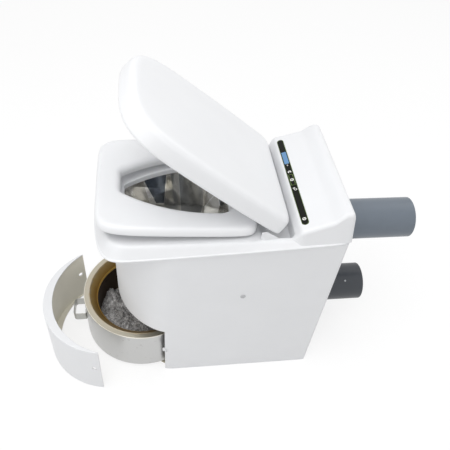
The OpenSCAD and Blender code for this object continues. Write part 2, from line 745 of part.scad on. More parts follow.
module seat_ring() color("#F6F7F8") seat_turn() {
    difference() {
        loft([
            at_z(seat_plan(3), seat_bottom),
            at_z(seat_plan(0), seat_bottom + 4),
            at_z(seat_plan(1), seat_top - 9),
            at_z(seat_plan(4), seat_top - 3.5),
            at_z(seat_plan(8), seat_top - 1),
            at_z(seat_plan(14), seat_top)]);
        difference() {
            loft([at_z(seat_plan(3 + seat_wall), seat_bottom - 1),
                at_z(seat_plan(5 + seat_wall), seat_top - 3.5 - seat_wall)]);
            translate([0, 0, seat_bottom - 2]) linear_extrude(seat_t + 4) polygon(egg(seat_wall + 4));
            for (p = seat_pad_spots) translate([p[0], p[1], seat_bottom]) cylinder(r = 9, h = seat_t);
            both_sides() translate([seat_knuckle_x, seat_rear - 30, seat_bottom])
                cube([seat_knuckle_w, 40, seat_t]);
        }
        loft([
            at_z(egg(0), seat_bottom - 1),
            for (a = [0, 25, 50, 75])
                at_z(egg(opening_roll * (1 - cos(a))), seat_top - opening_roll * (1 - sin(a))),
            at_z(egg(opening_roll), seat_top + 0.1)]);
        for (p = seat_pad_spots) translate([p[0], p[1], seat_bottom - 1]) cylinder(r = 2, h = 9);
        both_sides() translate([seat_knuckle_x + seat_knuckle_w / 2, seat_rear - 17, dowel_z])
            rod_y(3 + fit, 30);
    }
}

// Hinge arm of the seat, with a dowel in the ring's solid rear block
dowel_z = seat_top - 9;
module seat_hinges() color("#C9CBCD") seat_turn() both_sides() {
    translate([seat_knuckle_x + seat_knuckle_w / 2, seat_rear - 16, dowel_z]) rod_y(3, 20);
    difference() {
        union() {
            translate([seat_knuckle_x, hinge_y, hinge_z]) rod_x(knuckle_r - 0.5, seat_knuckle_w);
            translate([seat_knuckle_x, seat_rear + seat_gap, seat_top - 14])
                cube([seat_knuckle_w, hinge_y - seat_rear - seat_gap, 14]);
        }
        translate([seat_knuckle_x - 1, hinge_y, hinge_z]) rod_x(hinge_pin_r + fit, seat_knuckle_w + 2);
    }
}

module seat_pads() color("#D9DADB") seat_turn()
    for (p = seat_pad_spots) translate([p[0], p[1], seat_bottom]) {
        translate([0, 0, -seat_pad_h]) cylinder(r = 8, h = seat_pad_h);
        cylinder(r = 2 - fit, h = 7);
    }

// Bowl and hatch

bowl_top = platform_z - collar_h - seat_gap;
bowl_bottom = pivot_z + 8;
bowl_low_hw = pivot_x - 6;
bowl_low_hl = leaf_l / 2 - 6;

// Eight folds of the bowl: two in front, three along each side and two behind
function bowl_ring(share, inset, z) =
    let (hw = opening_hw + 6, front = opening_front + 6, rear = opening_rear + 8,
        high = [[hw * 0.62, rear], [-hw * 0.62, rear], [-hw, rear - 45], [-hw + 4, -115], [-hw * 0.42, -front],
            [hw * 0.42, -front], [hw - 4, -115], [hw, rear - 45]],
        lw = bowl_low_hw, ll = bowl_low_hl,
        low = [[lw * 0.62, ll - hatch_y], [-lw * 0.62, ll - hatch_y], [-lw, ll - hatch_y - 28],
            [-lw, 28 - ll - hatch_y], [-lw * 0.62, -ll - hatch_y], [lw * 0.62, -ll - hatch_y],
            [lw, 28 - ll - hatch_y], [lw, ll - hatch_y - 28]],
        mid_y = -90)
    [for (i = [0:7]) let (p = high[i] * share + low[i] * (1 - share))
        [p[0] - sign(p[0]) * inset, p[1] - (p[1] > mid_y ? 1 : -1) * inset, z]];

module bowl() color("#B8B9B8") {
    difference() {
        union() {
            loft([bowl_ring(0, 0, bowl_bottom), bowl_ring(0.62, 0, bowl_bottom + 95),
                bowl_ring(1, 0, bowl_top)]);
            translate([0, 0, bowl_top - bowl_sheet]) linear_extrude(bowl_sheet) polygon(egg(16));
        }
        loft([bowl_ring(0, bowl_sheet, bowl_bottom - 1), bowl_ring(0.62, bowl_sheet, bowl_bottom + 95),
            bowl_ring(1, bowl_sheet, bowl_top + 0.01)]);
        translate([0, 0, bowl_top - 5]) linear_extrude(10)
            polygon([for (p = bowl_ring(1, bowl_sheet, 0)) [p[0], p[1]]]);
    }
}

module bowl_gasket() color("#8C8E90")
    translate([0, 0, bowl_top + 0.05]) linear_extrude(platform_z - cover_wall - bowl_top - 0.1) difference() {
        polygon(egg(15));
        polygon(egg(9));
    }

frame_hl = leaf_l / 2 + 12;
module hatch_frame() color("#9B9D9F") difference() {
    union() {
        translate([-pivot_x - 22, -hatch_y - frame_hl, chamber_top + seat_gap])
            cube([2 * pivot_x + 44, 2 * frame_hl + 8, 3]);
        for (x = [-1, 1], y = [-1, 1])
            translate([x * pivot_x - 9, -hatch_y + y * (leaf_l / 2 + 4) - 3, chamber_top + seat_gap])
                cube([18, 6, pivot_z - chamber_top - seat_gap]);
        for (x = [-1, 1], y = [-1, 1])
            translate([x * pivot_x, -hatch_y + y * (leaf_l / 2 + 4) - 3, pivot_z]) rod_y(9, 6);
        // Legs that lift the frame off the chamber's top plate at the back
        translate([-pivot_x - 18, frame_hl - hatch_y + 4, chamber_top + seat_gap]) cube([36, 64, 3]);
    }
    translate([-pivot_x - 10, -hatch_y - leaf_l / 2 - 0.8, chamber_top - 5])
        cube([2 * pivot_x + 20, leaf_l + 1.6, 20]);
    for (x = [-1, 1]) translate([x * pivot_x, -hatch_y - leaf_l, pivot_z]) rod_y(axle_r + fit, 2 * leaf_l);
}

// One leaf, drawn closed, with its axle on the right-hand pivot
module hatch_leaf(extra) {
    translate([pivot_x, -hatch_y - leaf_l / 2 - 8.5, pivot_z]) rod_y(axle_r, leaf_l + 17 + extra);
    translate([pivot_x, -hatch_y - leaf_l / 2, pivot_z]) rod_y(axle_r + 2, leaf_l);
    translate([free_gap, -hatch_y - leaf_l / 2, pivot_z + 4]) cube([pivot_x - free_gap, leaf_l, leaf_t]);
    for (y = [-50, 0, 50]) translate([8, -hatch_y + y - 2, pivot_z - 2]) cube([pivot_x - 8, 4, 6.5]);
}

module hatch_leaf_right() color("#C3C4C4") hatch_leaf(0);
module hatch_leaf_left() color("#C3C4C4") mirror([1, 0, 0]) hatch_leaf(10);

hatch_motor_y = -hatch_y + leaf_l / 2 + 10;
module hatch_motor() color("#3B3E42") translate([-pivot_x, hatch_motor_y, pivot_z]) difference() {
    union() {
        rod_y(15, 14);
        translate([0, 14, 0]) rod_y(12, 34);
        translate([-11, 2, -pivot_z + chamber_top + seat_gap + 3]) cube([22, 10, 10]);
        translate([-8, 48, -6]) cube([16, 5, 12]);
    }
    translate([0, -1, 0]) rod_y(axle_r + fit, 11);
}

// Chamber

module at_chamber(z) {
    translate([0, -chamber_y, z]) children();
}

frame_x = drum_r + 3;
module inner_frame() color("#8E9194") {
    both_sides() {
        translate([frame_x, -chamber_y - 80, tray_t]) cube([2, 180, chamber_base - tray_t]);
        translate([chamber_r - 30, -chamber_y - 60, chamber_base - 2]) difference() {
            cube([frame_x + 2 - chamber_r + 30, 120, 2]);
            translate([-chamber_r + 30, 60, -1]) cylinder(r = chamber_r + 15, h = 4);
        }
        translate([frame_x - 14, -chamber_y + 98, tray_t]) cube([16, 2, chamber_base - tray_t]);
    }
}

flange_t = 2;
drum_top = drum_lift + drum_h;
outlet_z = chamber_top - duct_r - 16;
module combustion_chamber() color("#7B736B") difference() {
    union() {
        at_chamber(chamber_base) cylinder(r = chamber_r, h = chamber_top - chamber_base);
        at_chamber(chamber_base) cylinder(r = chamber_r + insulation_t, h = flange_t);
    }
    at_chamber(chamber_base - 1)
        cylinder(r = chamber_r - chamber_sheet, h = chamber_top - chamber_base - chamber_sheet + 1);
    translate([-pivot_x - 10, -hatch_y - leaf_l / 2 - 2, chamber_top - 10])
        cube([2 * pivot_x + 20, leaf_l + 4, 20]);
    translate([0, 0, outlet_z]) rod_y(duct_r + seat_gap, 150);
    for (x = [-1, 1]) translate([x * heater_leg_x, 0, heater_z]) rod_y(heater_rod_r + seat_gap, 150);
    translate([thermo_x, 0, thermo_z]) rod_y(3 + seat_gap, 150);
}

module rear_holes() {
    translate([0, 0, outlet_z]) rod_y(duct_r + 3, 160);
    for (x = [-1, 1]) translate([x * heater_leg_x, 0, heater_z]) rod_y(heater_rod_r + 2, 160);
    translate([thermo_x, 0, thermo_z]) rod_y(5, 160);
}

module chamber_insulation() color("#E6E1D2") difference() {
    at_chamber(chamber_base + flange_t + seat_gap)
        ring(chamber_r + insulation_t - 2.5, chamber_r + seat_gap, chamber_top - chamber_base - flange_t - 6);
    rear_holes();
}

module chamber_jacket() color("#A9ACAE") difference() {
    at_chamber(chamber_base + flange_t + seat_gap)
        ring(chamber_r + insulation_t, chamber_r + insulation_t - 1.5,
            chamber_top - chamber_base - flange_t - 6);
    rear_holes();
}

module chamber_seal() color("#D8D2C0")
    at_chamber(drum_top + 0.4) ring(chamber_r + 13, chamber_r + 5, chamber_base - drum_top - 0.4);

heater_leg_x = 24;
module heating_element() color("#6A4A3E") {
    leg_a = asin(heater_leg_x / heater_r);
    at_chamber(heater_z) rotate([0, 0, 90 + leg_a]) rotate_extrude(angle = 360 - 2 * leg_a)
        translate([heater_r, 0]) circle(r = heater_rod_r);
    for (x = [-1, 1])
        translate([x * heater_leg_x, -chamber_y + heater_r * cos(leg_a) - heater_rod_r * 0.8, heater_z])
            rod_y(heater_rod_r - 0.4, chamber_r + insulation_t + 16 - heater_r);
}

thermo_x = -60;
thermo_z = 250;
module thermocouple() color("#C9C6BE") translate([thermo_x, chamber_r + insulation_t - chamber_y, thermo_z]) {
    translate([0, -64, 0]) rod_y(3, 62);
    translate([0, 2, 0]) rod_y(6, 8);
    translate([0, -5, 0]) rotate([-90, 0, 0]) cylinder(r = 8, h = 7, $fn = 6);
}

// Exhaust, air and drive parts behind the chamber

box_front = -chamber_y + chamber_r + insulation_t + 16;
box_l = 96;
wall_t = 2;
catalyst_box_h = 90;
module hollow_box(hw, l, h, t) {
    difference() {
        translate([-hw, 0, 0]) cube([2 * hw, l, h]);
        translate([-hw + t, t, t]) cube([2 * hw - 2 * t, l - 2 * t, h - 2 * t]);
    }
}

module exhaust_duct() color("#9A9C9E")
    translate([0, -chamber_y + chamber_r - chamber_sheet, outlet_z])
        tube_y(duct_r, duct_r - 1.5, box_front + wall_t + chamber_y - chamber_r + chamber_sheet);

module catalyst_box() color("#A6A8AA") difference() {
    translate([0, box_front, air_box_top + seat_gap]) hollow_box(box_hw, box_l, catalyst_box_h, wall_t);
    translate([0, box_front - 5, outlet_z]) rod_y(duct_r + seat_gap, 20);
    translate([-25, box_front + 46, air_box_top + 20]) cube([50, 36, 100]);
}

module catalyst() color("#C9BFA8")
    translate([0, box_front + 34, air_box_top + seat_gap + wall_t]) difference() {
    translate([-50, 0, 0]) cube([100, 26, catalyst_box_h - 2 * wall_t - 22]);
    for (x = [-4:4], z = [0:4]) translate([x * 11 - 4, -1, 6 + z * 12]) cube([8, 28, 9]);
}

fan_y = box_front + 30;
module fan_housing() color("#8B8E91") difference() {
    union() {
        translate([0, fan_y, exhaust_z]) rod_y(fan_housing_r, fan_housing_l);
        translate([-31, fan_y + 12, air_box_top + 2 * seat_gap + catalyst_box_h])
            cube([62, 42, exhaust_z - fan_housing_r - air_box_top - catalyst_box_h + 12]);
    }
    translate([0, fan_y + wall_t, exhaust_z]) rod_y(fan_housing_r - wall_t, fan_housing_l - 2 * wall_t);
    translate([0, fan_y - 1, exhaust_z]) rod_y(fan_shaft_r + 1, 10);
    translate([0, fan_y + fan_housing_l - 5, exhaust_z]) rod_y(pipe_r - pipe_wall, 10);
    translate([-25, fan_y + 17, air_box_top + catalyst_box_h - 5]) cube([50, 32, 50]);
}

module fan_motor() color("#33363A") translate([0, fan_y - fan_motor_l - seat_gap, exhaust_z]) difference() {
    union() {
        rod_y(fan_motor_r, fan_motor_l);
        for (a = [0:30:330]) rotate([0, a, 0]) translate([fan_motor_r - 1, 6, -1])
            cube([3, fan_motor_l - 12, 2]);
        translate([0, -6, 0]) rod_y(12, 6);
    }
    translate([0, fan_motor_l - 20, 0]) rod_y(fan_shaft_r + fit, 22);
}

module fan_rotor() color("#5C6064") translate([0, fan_y, exhaust_z]) {
    translate([0, -18, 0]) rod_y(fan_shaft_r, 52);
    translate([0, 8, 0]) rod_y(14, 26);
    translate([0, 8, 0]) rod_y(fan_r, 2);
    for (i = [0:fan_blades - 1]) rotate([0, i * 360 / fan_blades, 0])
        translate([28, 9, -1]) rotate([0, 25, 0]) cube([24, 26, 1.6]);
}

module air_box() color("#9FA2A4") difference() {
    translate([0, box_front, tray_t]) hollow_box(box_hw, box_l, air_box_top - tray_t, wall_t);
    translate([0, box_front + box_l - 6, intake_z]) rod_y(pipe_r + seat_gap, 12);
    translate([0, box_front - 4, intake_z + 40]) rod_y(20, 12);
}

power_w = shell_hw_floor - box_hw - 30;
module power_unit() color("#6C7074") translate([20 - shell_hw_floor, box_front, tray_t]) {
    difference() {
        cube([power_w, box_l - 4, box_l]);
        for (i = [0:6]) translate([14 + i * (power_w - 36) / 6, -1, 20]) cube([3.5, 4, box_l - 40]);
        translate([20, 20, box_l - 6]) cube([power_w - 40, 52, 7]);
    }
    for (y = [24, 46]) translate([30, y, box_l - 7]) cube([power_w - 60, 14, 12]);
}

// Pipes

module pipe(start, end, z) {
    translate([0, start, z]) tube_y(pipe_r, pipe_r - pipe_wall, end - start);
}

exhaust_start = fan_y + fan_housing_l + seat_gap;
intake_start = box_front + box_l - wall_t - 10;
module exhaust_pipe() color("#7B858D") difference() {
    pipe(exhaust_start, exhaust_end, exhaust_z);
    // Turned down a little from its start to the shoulder behind the shell
    translate([0, exhaust_start - 1, exhaust_z])
        tube_y(pipe_r + 1, pipe_r - neck_cut, exhaust_end - spigot_l - exhaust_start + 1);
}
module intake_pipe() color("#4C525A") difference() {
    pipe(intake_start, intake_end, intake_z);
    at_pipe_screw() translate([0, 0, pipe_r - 10]) cylinder(r = 1.6 + fit, h = 20);
}

function wall_y(z) = shell_rear_floor + (shell_rear_top - shell_rear_floor) * z / lip_z;
module pipe_collars() color("#2E3134")
    for (p = [[exhaust_z, pipe_r - neck_cut], [intake_z, pipe_r]])
        translate([0, wall_y(p[0]) - collar_l / 2 - shell_wall / 2, p[0]])
            tube_y(pipe_r + collar_w, p[1] + fit, collar_l);

pipe_screw_y = 404;
pipe_screw_turn = 38;
module at_pipe_screw() {
    translate([0, pipe_screw_y, intake_z]) rotate([0, pipe_screw_turn, 0]) children();
}
module pipe_screws() color("#E9EAEA") at_pipe_screw() {
    translate([0, 0, pipe_r - pipe_wall + 0.4]) cylinder(r = 1.6, h = pipe_wall);
    translate([0, 0, pipe_r + 0.1]) cylinder(r = 3.2, h = 1.6);
}

gland_x = -132;
gland_z = 52;
gland_r = 8;
module cable_gland() color("#2B2D30") translate([gland_x, wall_y(gland_z), gland_z]) difference() {
    union() {
        translate([0, -12, 0]) rod_y(gland_r, 22);
        translate([0, 0.6, 0]) rotate([-90, 0, 0]) cylinder(r = gland_r + 5, h = 6, $fn = 6);
        translate([0, -shell_wall - 6.5, 0]) rotate([-90, 0, 0]) cylinder(r = gland_r + 5, h = 5, $fn = 6);
        translate([0, 6, 0]) rod_y(gland_r + 2, 8);
    }
    translate([0, -13, 0]) rod_y(4.5, 40);
}

// Ash container

module at_drum(z) {
    translate([0, -chamber_y - drum_out, z]) children();
}

rail_top = drum_lift - seat_gap;
module drawer_rails() color("#A3A6A8") both_sides()
    translate([rail_x - rail_w / 2, -cover_edge_reach, tray_t]) difference() {
        cube([rail_w, cover_edge_reach + 120, rail_top - tray_t]);
        translate([rail_wall, -1, -1])
            cube([rail_w - 2 * rail_wall, cover_edge_reach + 122, rail_top - tray_t - 1.5]);
    }
cover_edge_reach = -cover_edge_cy + sqrt(pow(cover_edge_r - 2, 2) - pow(rail_x + rail_w / 2, 2)) - 6;

rim_t = 1.5;
rim_in = drum_r - rim_w;
module ash_drum() color("#C4C3C0") at_drum(drum_lift) difference() {
    cylinder(r = drum_r, h = drum_h - rim_t - fit);
    translate([0, 0, drum_sheet]) cylinder(r = drum_r - drum_sheet, h = drum_h);
    for (a = [-1, 1]) rotate([0, 0, -90]) translate([0, a * handle_leg_x, handle_z - drum_lift])
        rod_x(2.5, drum_r + 10);
}

module drum_rim() color("#BDB59F") at_drum(drum_lift) rotate_extrude()
    polygon([[pan_r + drum_sheet + fit, drum_h - pan_drop], [rim_in, drum_h - rim_t],
        [drum_r, drum_h - rim_t], [drum_r, drum_h],
        [rim_in - 0.6, drum_h], [pan_r + drum_sheet + fit, drum_h - pan_drop + 2.2]]);

pan_floor = 8;
module ash_pan() color("#2E251C") at_drum(drum_lift) rotate_extrude()
    polygon([[0, pan_floor], [pan_r - 8, pan_floor], [pan_r + drum_sheet, pan_floor + 10],
        [pan_r + drum_sheet, drum_h - pan_drop - seat_gap], [pan_r, drum_h - pan_drop - seat_gap],
        [pan_r, pan_floor + 11], [pan_r - 9, pan_floor + drum_sheet], [0, pan_floor + drum_sheet]]);

module drum_insulation() color("#DAD5C6") at_drum(drum_lift) rotate_extrude()
    polygon([[0, drum_sheet + fit], [drum_r - drum_sheet - 1, drum_sheet + fit],
        [drum_r - drum_sheet - 1, drum_h - rim_t - 4],
        [rim_in + 4, drum_h - rim_t - 4], [pan_r + drum_sheet + 3, drum_h - pan_drop - 3],
        [pan_r + drum_sheet + seat_gap, pan_floor + 9.8], [pan_r - 8, pan_floor - seat_gap],
        [0, pan_floor - seat_gap]]);

handle_leg_x = handle_w / 2 - 6;
// Strap that runs out from the drum, across in front of it and back, with chamfered corners
module drum_handle() color("#ADADA8") {
    hw = handle_w / 2;
    root = sqrt(pow(drum_r, 2) - pow(hw, 2)) + seat_gap;
    tip = drum_r + handle_reach;
    c = 9;
    t = handle_t;
    k = t * tan(22.5);
    at_drum(handle_z - handle_h / 2) linear_extrude(handle_h) polygon([
        [-hw, -root], [-hw, -tip + c], [-hw + c, -tip], [hw - c, -tip], [hw, -tip + c], [hw, -root],
        [hw - t, -root - 1], [hw - t, -tip + c + k], [hw - c - k, -tip + t], [-hw + c + k, -tip + t],
        [-hw + t, -tip + c + k], [-hw + t, -root - 1]]);
    // Feet that lie on the drum, each with its rivet
    for (s = [-1, 1]) at_drum(handle_z) {
        difference() {
            translate([0, 0, -handle_h / 2]) intersection() {
                ring(drum_r + handle_t + seat_gap, drum_r + seat_gap, handle_h);
                translate([s > 0 ? hw - 16 : -hw, -drum_r - 10, 0]) cube([16, 60, handle_h]);
            }
            rotate([0, 0, -90]) translate([0, s * handle_leg_x, 0]) rod_x(2.5, drum_r + 10);
        }
    }
    for (s = [-1, 1]) at_drum(handle_z) rotate([0, 0, -90]) translate([drum_r - 3.4, s * handle_leg_x, 0]) {
        rod_x(2.45, 7.4);
        translate([5.6, 0, 0]) rod_x(4, 1.6);
    }
}

// Front cover

// The cover is drawn in its working place, then set down where it stands on the floor
module stand_cover() {
    translate([front_cover_x, -front_cover_y, 0]) rotate([0, 0, front_cover_turn])
        translate([0, -front_cover_cy, 0]) children();
}

module cover_edge_plan() {
    difference() {
        translate([0, front_cover_cy]) circle(r = front_cover_r);
        translate([0, cover_edge_cy]) circle(r = cover_edge_r);
        translate([-300, front_cover_tip_y]) square(600);
    }
}

module front_cover() color("#F2F3F4") stand_cover() difference() {
    union() {
        linear_extrude(front_cover_h) difference() {
            translate([0, front_cover_cy]) circle(r = front_cover_r);
            translate([0, front_cover_cy]) circle(r = front_cover_r - front_cover_wall);
            translate([-300, front_cover_tip_y]) square(600);
        }
        for (z = [0, front_cover_h - 3]) translate([0, 0, z]) linear_extrude(3) cover_edge_plan();
    }
    for (s = [-1, 1]) translate([0, front_cover_cy, stud_z])
        rotate([0, 0, s > 0 ? -snap_angle : 180 + snap_angle])
        translate([front_cover_r - 20, 0, 0]) rod_x(snap_hole_r, 40);
}
snap_angle = acos(front_cover_hw / front_cover_r) + 5.2;

stud_x = front_cover_hw + 3;
stud_bracket_x = stud_x + 0.2;
// Stud on the bracket inside each edge, pointing at the hole in the cover
module snap_studs() color("#FAFAFA") both_sides()
    translate([stud_x, -opening_edge - 1.5, stud_z]) {
        rod_x(stud_r, 6.5);
        translate([0.4, 0, -4]) cube([5, 8.2, 8]);
    }

// Side screws

side_screw_y = 54;
side_screw_z = 336;
screw_r = 3;
module at_side_screws() both_sides()
    translate([side_x(side_screw_y, side_screw_z), side_screw_y, side_screw_z])
        rotate([0, side_lean, 0]) children();
module side_screws() color("#E6E7E8") at_side_screws() {
    translate([-14, 0, 0]) rod_x(screw_r, 15);
    translate([0.2, 0, 0]) difference() {
        rod_x(6.5, 1.8);
        translate([0.8, 0, 0]) rod_x(3.6, 2);
    }
}

base_tray();
body_shell();
top_cover();
control_strip();
display_window();
start_key();
lock_key();
control_board();
hinge_posts();
hinge_pins();
hinge_cheeks();
lid_shell();
lid_liner();
lid_hinges();
lid_pads();
seat_ring();
seat_hinges();
seat_pads();
bowl();
bowl_gasket();
hatch_frame();
hatch_leaf_left();
hatch_leaf_right();
hatch_motor();
inner_frame();
combustion_chamber();
chamber_insulation();
chamber_jacket();
chamber_seal();
heating_element();
thermocouple();
exhaust_duct();
catalyst_box();
catalyst();
fan_housing();
fan_rotor();
fan_motor();
air_box();
power_unit();
exhaust_pipe();
intake_pipe();
pipe_collars();
pipe_screws();
cable_gland();
drawer_rails();
ash_drum();
drum_rim();
ash_pan();
drum_insulation();
drum_handle();
front_cover();
snap_studs();
side_screws();
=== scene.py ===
import bpy
import numpy as np
from mathutils import Matrix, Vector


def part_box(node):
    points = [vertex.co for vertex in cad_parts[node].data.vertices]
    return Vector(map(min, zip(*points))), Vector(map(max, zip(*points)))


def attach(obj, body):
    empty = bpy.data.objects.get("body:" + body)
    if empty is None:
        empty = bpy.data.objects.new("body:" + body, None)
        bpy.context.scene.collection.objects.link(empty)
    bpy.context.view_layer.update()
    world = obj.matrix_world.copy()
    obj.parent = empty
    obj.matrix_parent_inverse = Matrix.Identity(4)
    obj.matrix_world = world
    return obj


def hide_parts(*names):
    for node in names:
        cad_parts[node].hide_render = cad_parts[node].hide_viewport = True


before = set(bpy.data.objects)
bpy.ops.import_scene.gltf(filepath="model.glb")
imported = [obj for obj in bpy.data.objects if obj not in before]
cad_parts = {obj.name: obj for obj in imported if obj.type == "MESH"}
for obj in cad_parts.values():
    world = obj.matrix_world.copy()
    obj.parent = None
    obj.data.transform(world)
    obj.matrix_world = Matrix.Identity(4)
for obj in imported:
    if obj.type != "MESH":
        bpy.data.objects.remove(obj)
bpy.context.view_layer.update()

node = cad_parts


# Camera. It looks down on the near side from in front, rolled slightly, as the photograph does. Its lens is
# the photograph's own, fitted on its edges for a square frame; the matrix holds where it looks and stands.
camera = bpy.data.objects.new("camera", bpy.data.cameras.new("camera"))
camera.data.lens = 43.032
camera.data.sensor_width = 36
camera.data.clip_end = 30
camera.matrix_world = Matrix((
    (0.120379, -0.712815, 0.690944, 0.9906),
    (0.990214, 0.036716, -0.134640, -0.1662),
    (0.070605, 0.700391, 0.710259, 1.4198),
    (0, 0, 0, 1)))
bpy.context.scene.collection.objects.link(camera)
bpy.context.scene.camera = camera
bpy.context.scene.view_settings.view_transform = "Standard"


# Studio: a matt pale sheet under the toilet, which shows white to the camera and in metal but keeps the
# toilet's soft shadow, an even white room round it, and three large soft lamps.
def linear(hexed, shade=1.0, lift=0.0):
    """An sRGB hex colour as linear numbers: c / 12.92 near black and ((c + 0.055) / 1.055) ^ 2.4 above it,
    then times the shade, plus the lift."""
    c = np.array([int(hexed[i:i + 2], 16) for i in (1, 3, 5)]) / 255
    return (*(np.where(c <= 0.04045, c / 12.92, ((c + 0.055) / 1.055) ** 2.4) * shade + lift), 1.0)


def add(tree, kind, settings=None, **links):
    """Adds a node of a kind, sets its properties and unlinked sockets, and links the named sockets, each to
    an output or to a node's first output."""
    made = tree.nodes.new("ShaderNode" + kind)
    for key, value in (settings or {}).items():
        if isinstance(key, str) and hasattr(made, key):
            setattr(made, key, value)
        else:
            made.inputs[key].default_value = value
    for key, source in links.items():
        key = key.replace("_", " ")
        output = source if isinstance(source, bpy.types.NodeSocket) else source.outputs[0]
        tree.links.new(output, made.inputs[int(key[1:]) if key[1:].isdigit() else key])
    return made


def blank(name):
    """A new material and its empty node tree."""
    made = bpy.data.materials.new(name)
    made.use_nodes = True
    made.node_tree.nodes.clear()
    return made, made.node_tree


def spread(tree, value, low, high):
    """A value from 0 to 1 spread from low to high."""
    return add(tree, "MapRange", {"To Min": low, "To Max": high}, Value=value)


def seen_by_eye(tree):
    """1 for a ray from the camera, off gloss or through glass, and 0 for one that lights the object."""
    path = add(tree, "LightPath").outputs
    first = add(tree, "Math", {"operation": "MAXIMUM"}, _0=path["Is Camera Ray"], _1=path["Is Glossy Ray"])
    return add(tree, "Math", {"operation": "MAXIMUM"}, _0=first, _1=path["Is Transmission Ray"])


# The eye sees the sheet as a mix of its own matt grey and, by the glow's share, a white glow.
floor_reach, glow_strength, glow_share = 9, 1.25, 0.6
paper, tree = blank("Paper, matt white sheet")
matt = add(tree, "BsdfDiffuse", {"Color": linear("#D6D6D6")})
glow = add(tree, "Emission", {"Color": linear("#FFFFFF"), "Strength": glow_strength})
share = add(tree, "Math", {"operation": "MULTIPLY", 1: glow_share}, _0=seen_by_eye(tree))
add(tree, "OutputMaterial", Surface=add(tree, "MixShader", _0=share, _1=matt, _2=glow))
mesh = bpy.data.meshes.new("floor")
corners = [(x * floor_reach, y * floor_reach, 0) for x, y in ((-1, -1), (1, -1), (1, 1), (-1, 1))]
mesh.from_pydata(corners, [], [(0, 1, 2, 3)])
mesh.materials.append(paper)
floor = bpy.data.objects.new("floor", mesh)
bpy.context.scene.collection.objects.link(floor)

room_light = 0.69
world = bpy.data.worlds.new("studio")
bpy.context.scene.world = world
world.use_nodes = True
tree = world.node_tree
background = tree.nodes["Background"].inputs
background["Color"].default_value = linear("#FFFFFF")
strength = spread(tree, seen_by_eye(tree), room_light, 1.0)
tree.links.new(strength.outputs[0], background["Strength"])


def lamp(name, place, aim, size, power):
    """A square soft lamp at a place, turned so that its light axis points at the aim, in metres and watts."""
    data = bpy.data.lights.new(name, "AREA")
    data.size = size
    data.energy = power
    made = bpy.data.objects.new(name, data)
    axis = np.array(place, float) - np.array(aim, float)
    axis /= np.linalg.norm(axis)
    side = np.cross((0, 0, 1), axis)
    side /= np.linalg.norm(side)
    rows = np.array([side, np.cross(axis, side), axis]).T
    made.matrix_world = Matrix([(*row, at) for row, at in zip(rows, place)] + [(0, 0, 0, 1)])
    bpy.context.scene.collection.objects.link(made)


lamp("lamp_top", (0.6, -0.6, 2.7), (0, 0, 0.4), 1.8, 25.5)
lamp("lamp_near", (1.7, -1.1, 1.1), (0.1, -0.2, 0.3), 1.2, 5)
lamp("lamp_rear", (-0.8, 2.2, 2.2), (0, 0, 0.4), 1.6, 9)


# Base tray: the shallow floor of the housing, which carries everything and shows at the foot of the front
# opening. Vacuum-formed in beige HDPE, with a low rim; its skin has an even, fine grain.
def patterned(name):
    """A new material, its node tree and the object's own coordinates, in which its patterns are drawn."""
    made, tree = blank(name)
    return made, tree, add(tree, "TexCoord").outputs["Object"]


def noise(tree, place, size, detail, roughness=0.5):
    """Noise in a pattern's coordinates, whose largest clouds are of a size in mm."""
    settings = {"Scale": 1000 / size, "Detail": detail, "Roughness": roughness}
    return add(tree, "TexNoise", settings, Vector=place)


def relief(tree, pattern, strength, depth):
    """Bump as high as a pattern is bright, with a depth in mm."""
    return add(tree, "Bump", {"Strength": strength, "Distance": depth / 1000}, Height=pattern)


def surfaced(material, settings, **links):
    """The material with its one shader: its settings, and its sockets linked by name."""
    tree = material.node_tree
    add(tree, "OutputMaterial", Surface=add(tree, "BsdfPrincipled", settings, **links))
    return material


def moulded(name, colour, roughness, grain, depth, mottle=0.02, cloud=110, shine=0.5):
    """Moulded plastic: an even colour with a faint mottle of the cloud's size, a grain of the given size and
    depth, all in mm, and a shine, where 0.5 is the full gloss of a plastic and less is a duller skin."""
    made, tree, place = patterned(name)
    soft = noise(tree, place, cloud, 3.0, 0.6)
    tint = add(tree, "MixRGB", {1: linear(colour, 1 - 3 * mottle), 2: linear(colour)}, Fac=soft)
    gloss = spread(tree, soft, roughness - 0.05, roughness + 0.07)
    fine = noise(tree, place, grain, 2.0)
    bump = relief(tree, fine, 0.35, depth)
    return surfaced(made, {"IOR": 1.53, "Specular IOR Level": shine},
                    Base_Color=tint, Roughness=gloss, Normal=bump)


def finish(material, *names):
    """Gives carried-over nodes their material."""
    for name in names:
        slots = node[name].data.materials
        slots.clear()
        slots.append(material)


finish(moulded("HDPE, vacuum-formed beige tray", "#C9C2AC", 0.5, 1.2, 0.03, 0.03), "base_tray")


# Lower shell: one moulded white HDPE wall that stands on the tray and leans out to the lip of the top cover.
# Its front is cut away for the ash container, with a notch at each edge for the snap studs.
lip_z, lip_rise, lip_gap = 500, 0.05, 0.3
floor_hw, floor_rear, top_hw, top_rear, shell_wall = 186, 276, 190, 292, 3.5
exhaust_z, intake_z, collar_r, gland_r = 408.0, 133.0, 61.5, 8.3
opening_y, opening_h, notch_rear, stud_z = -143, 190, -136, 100


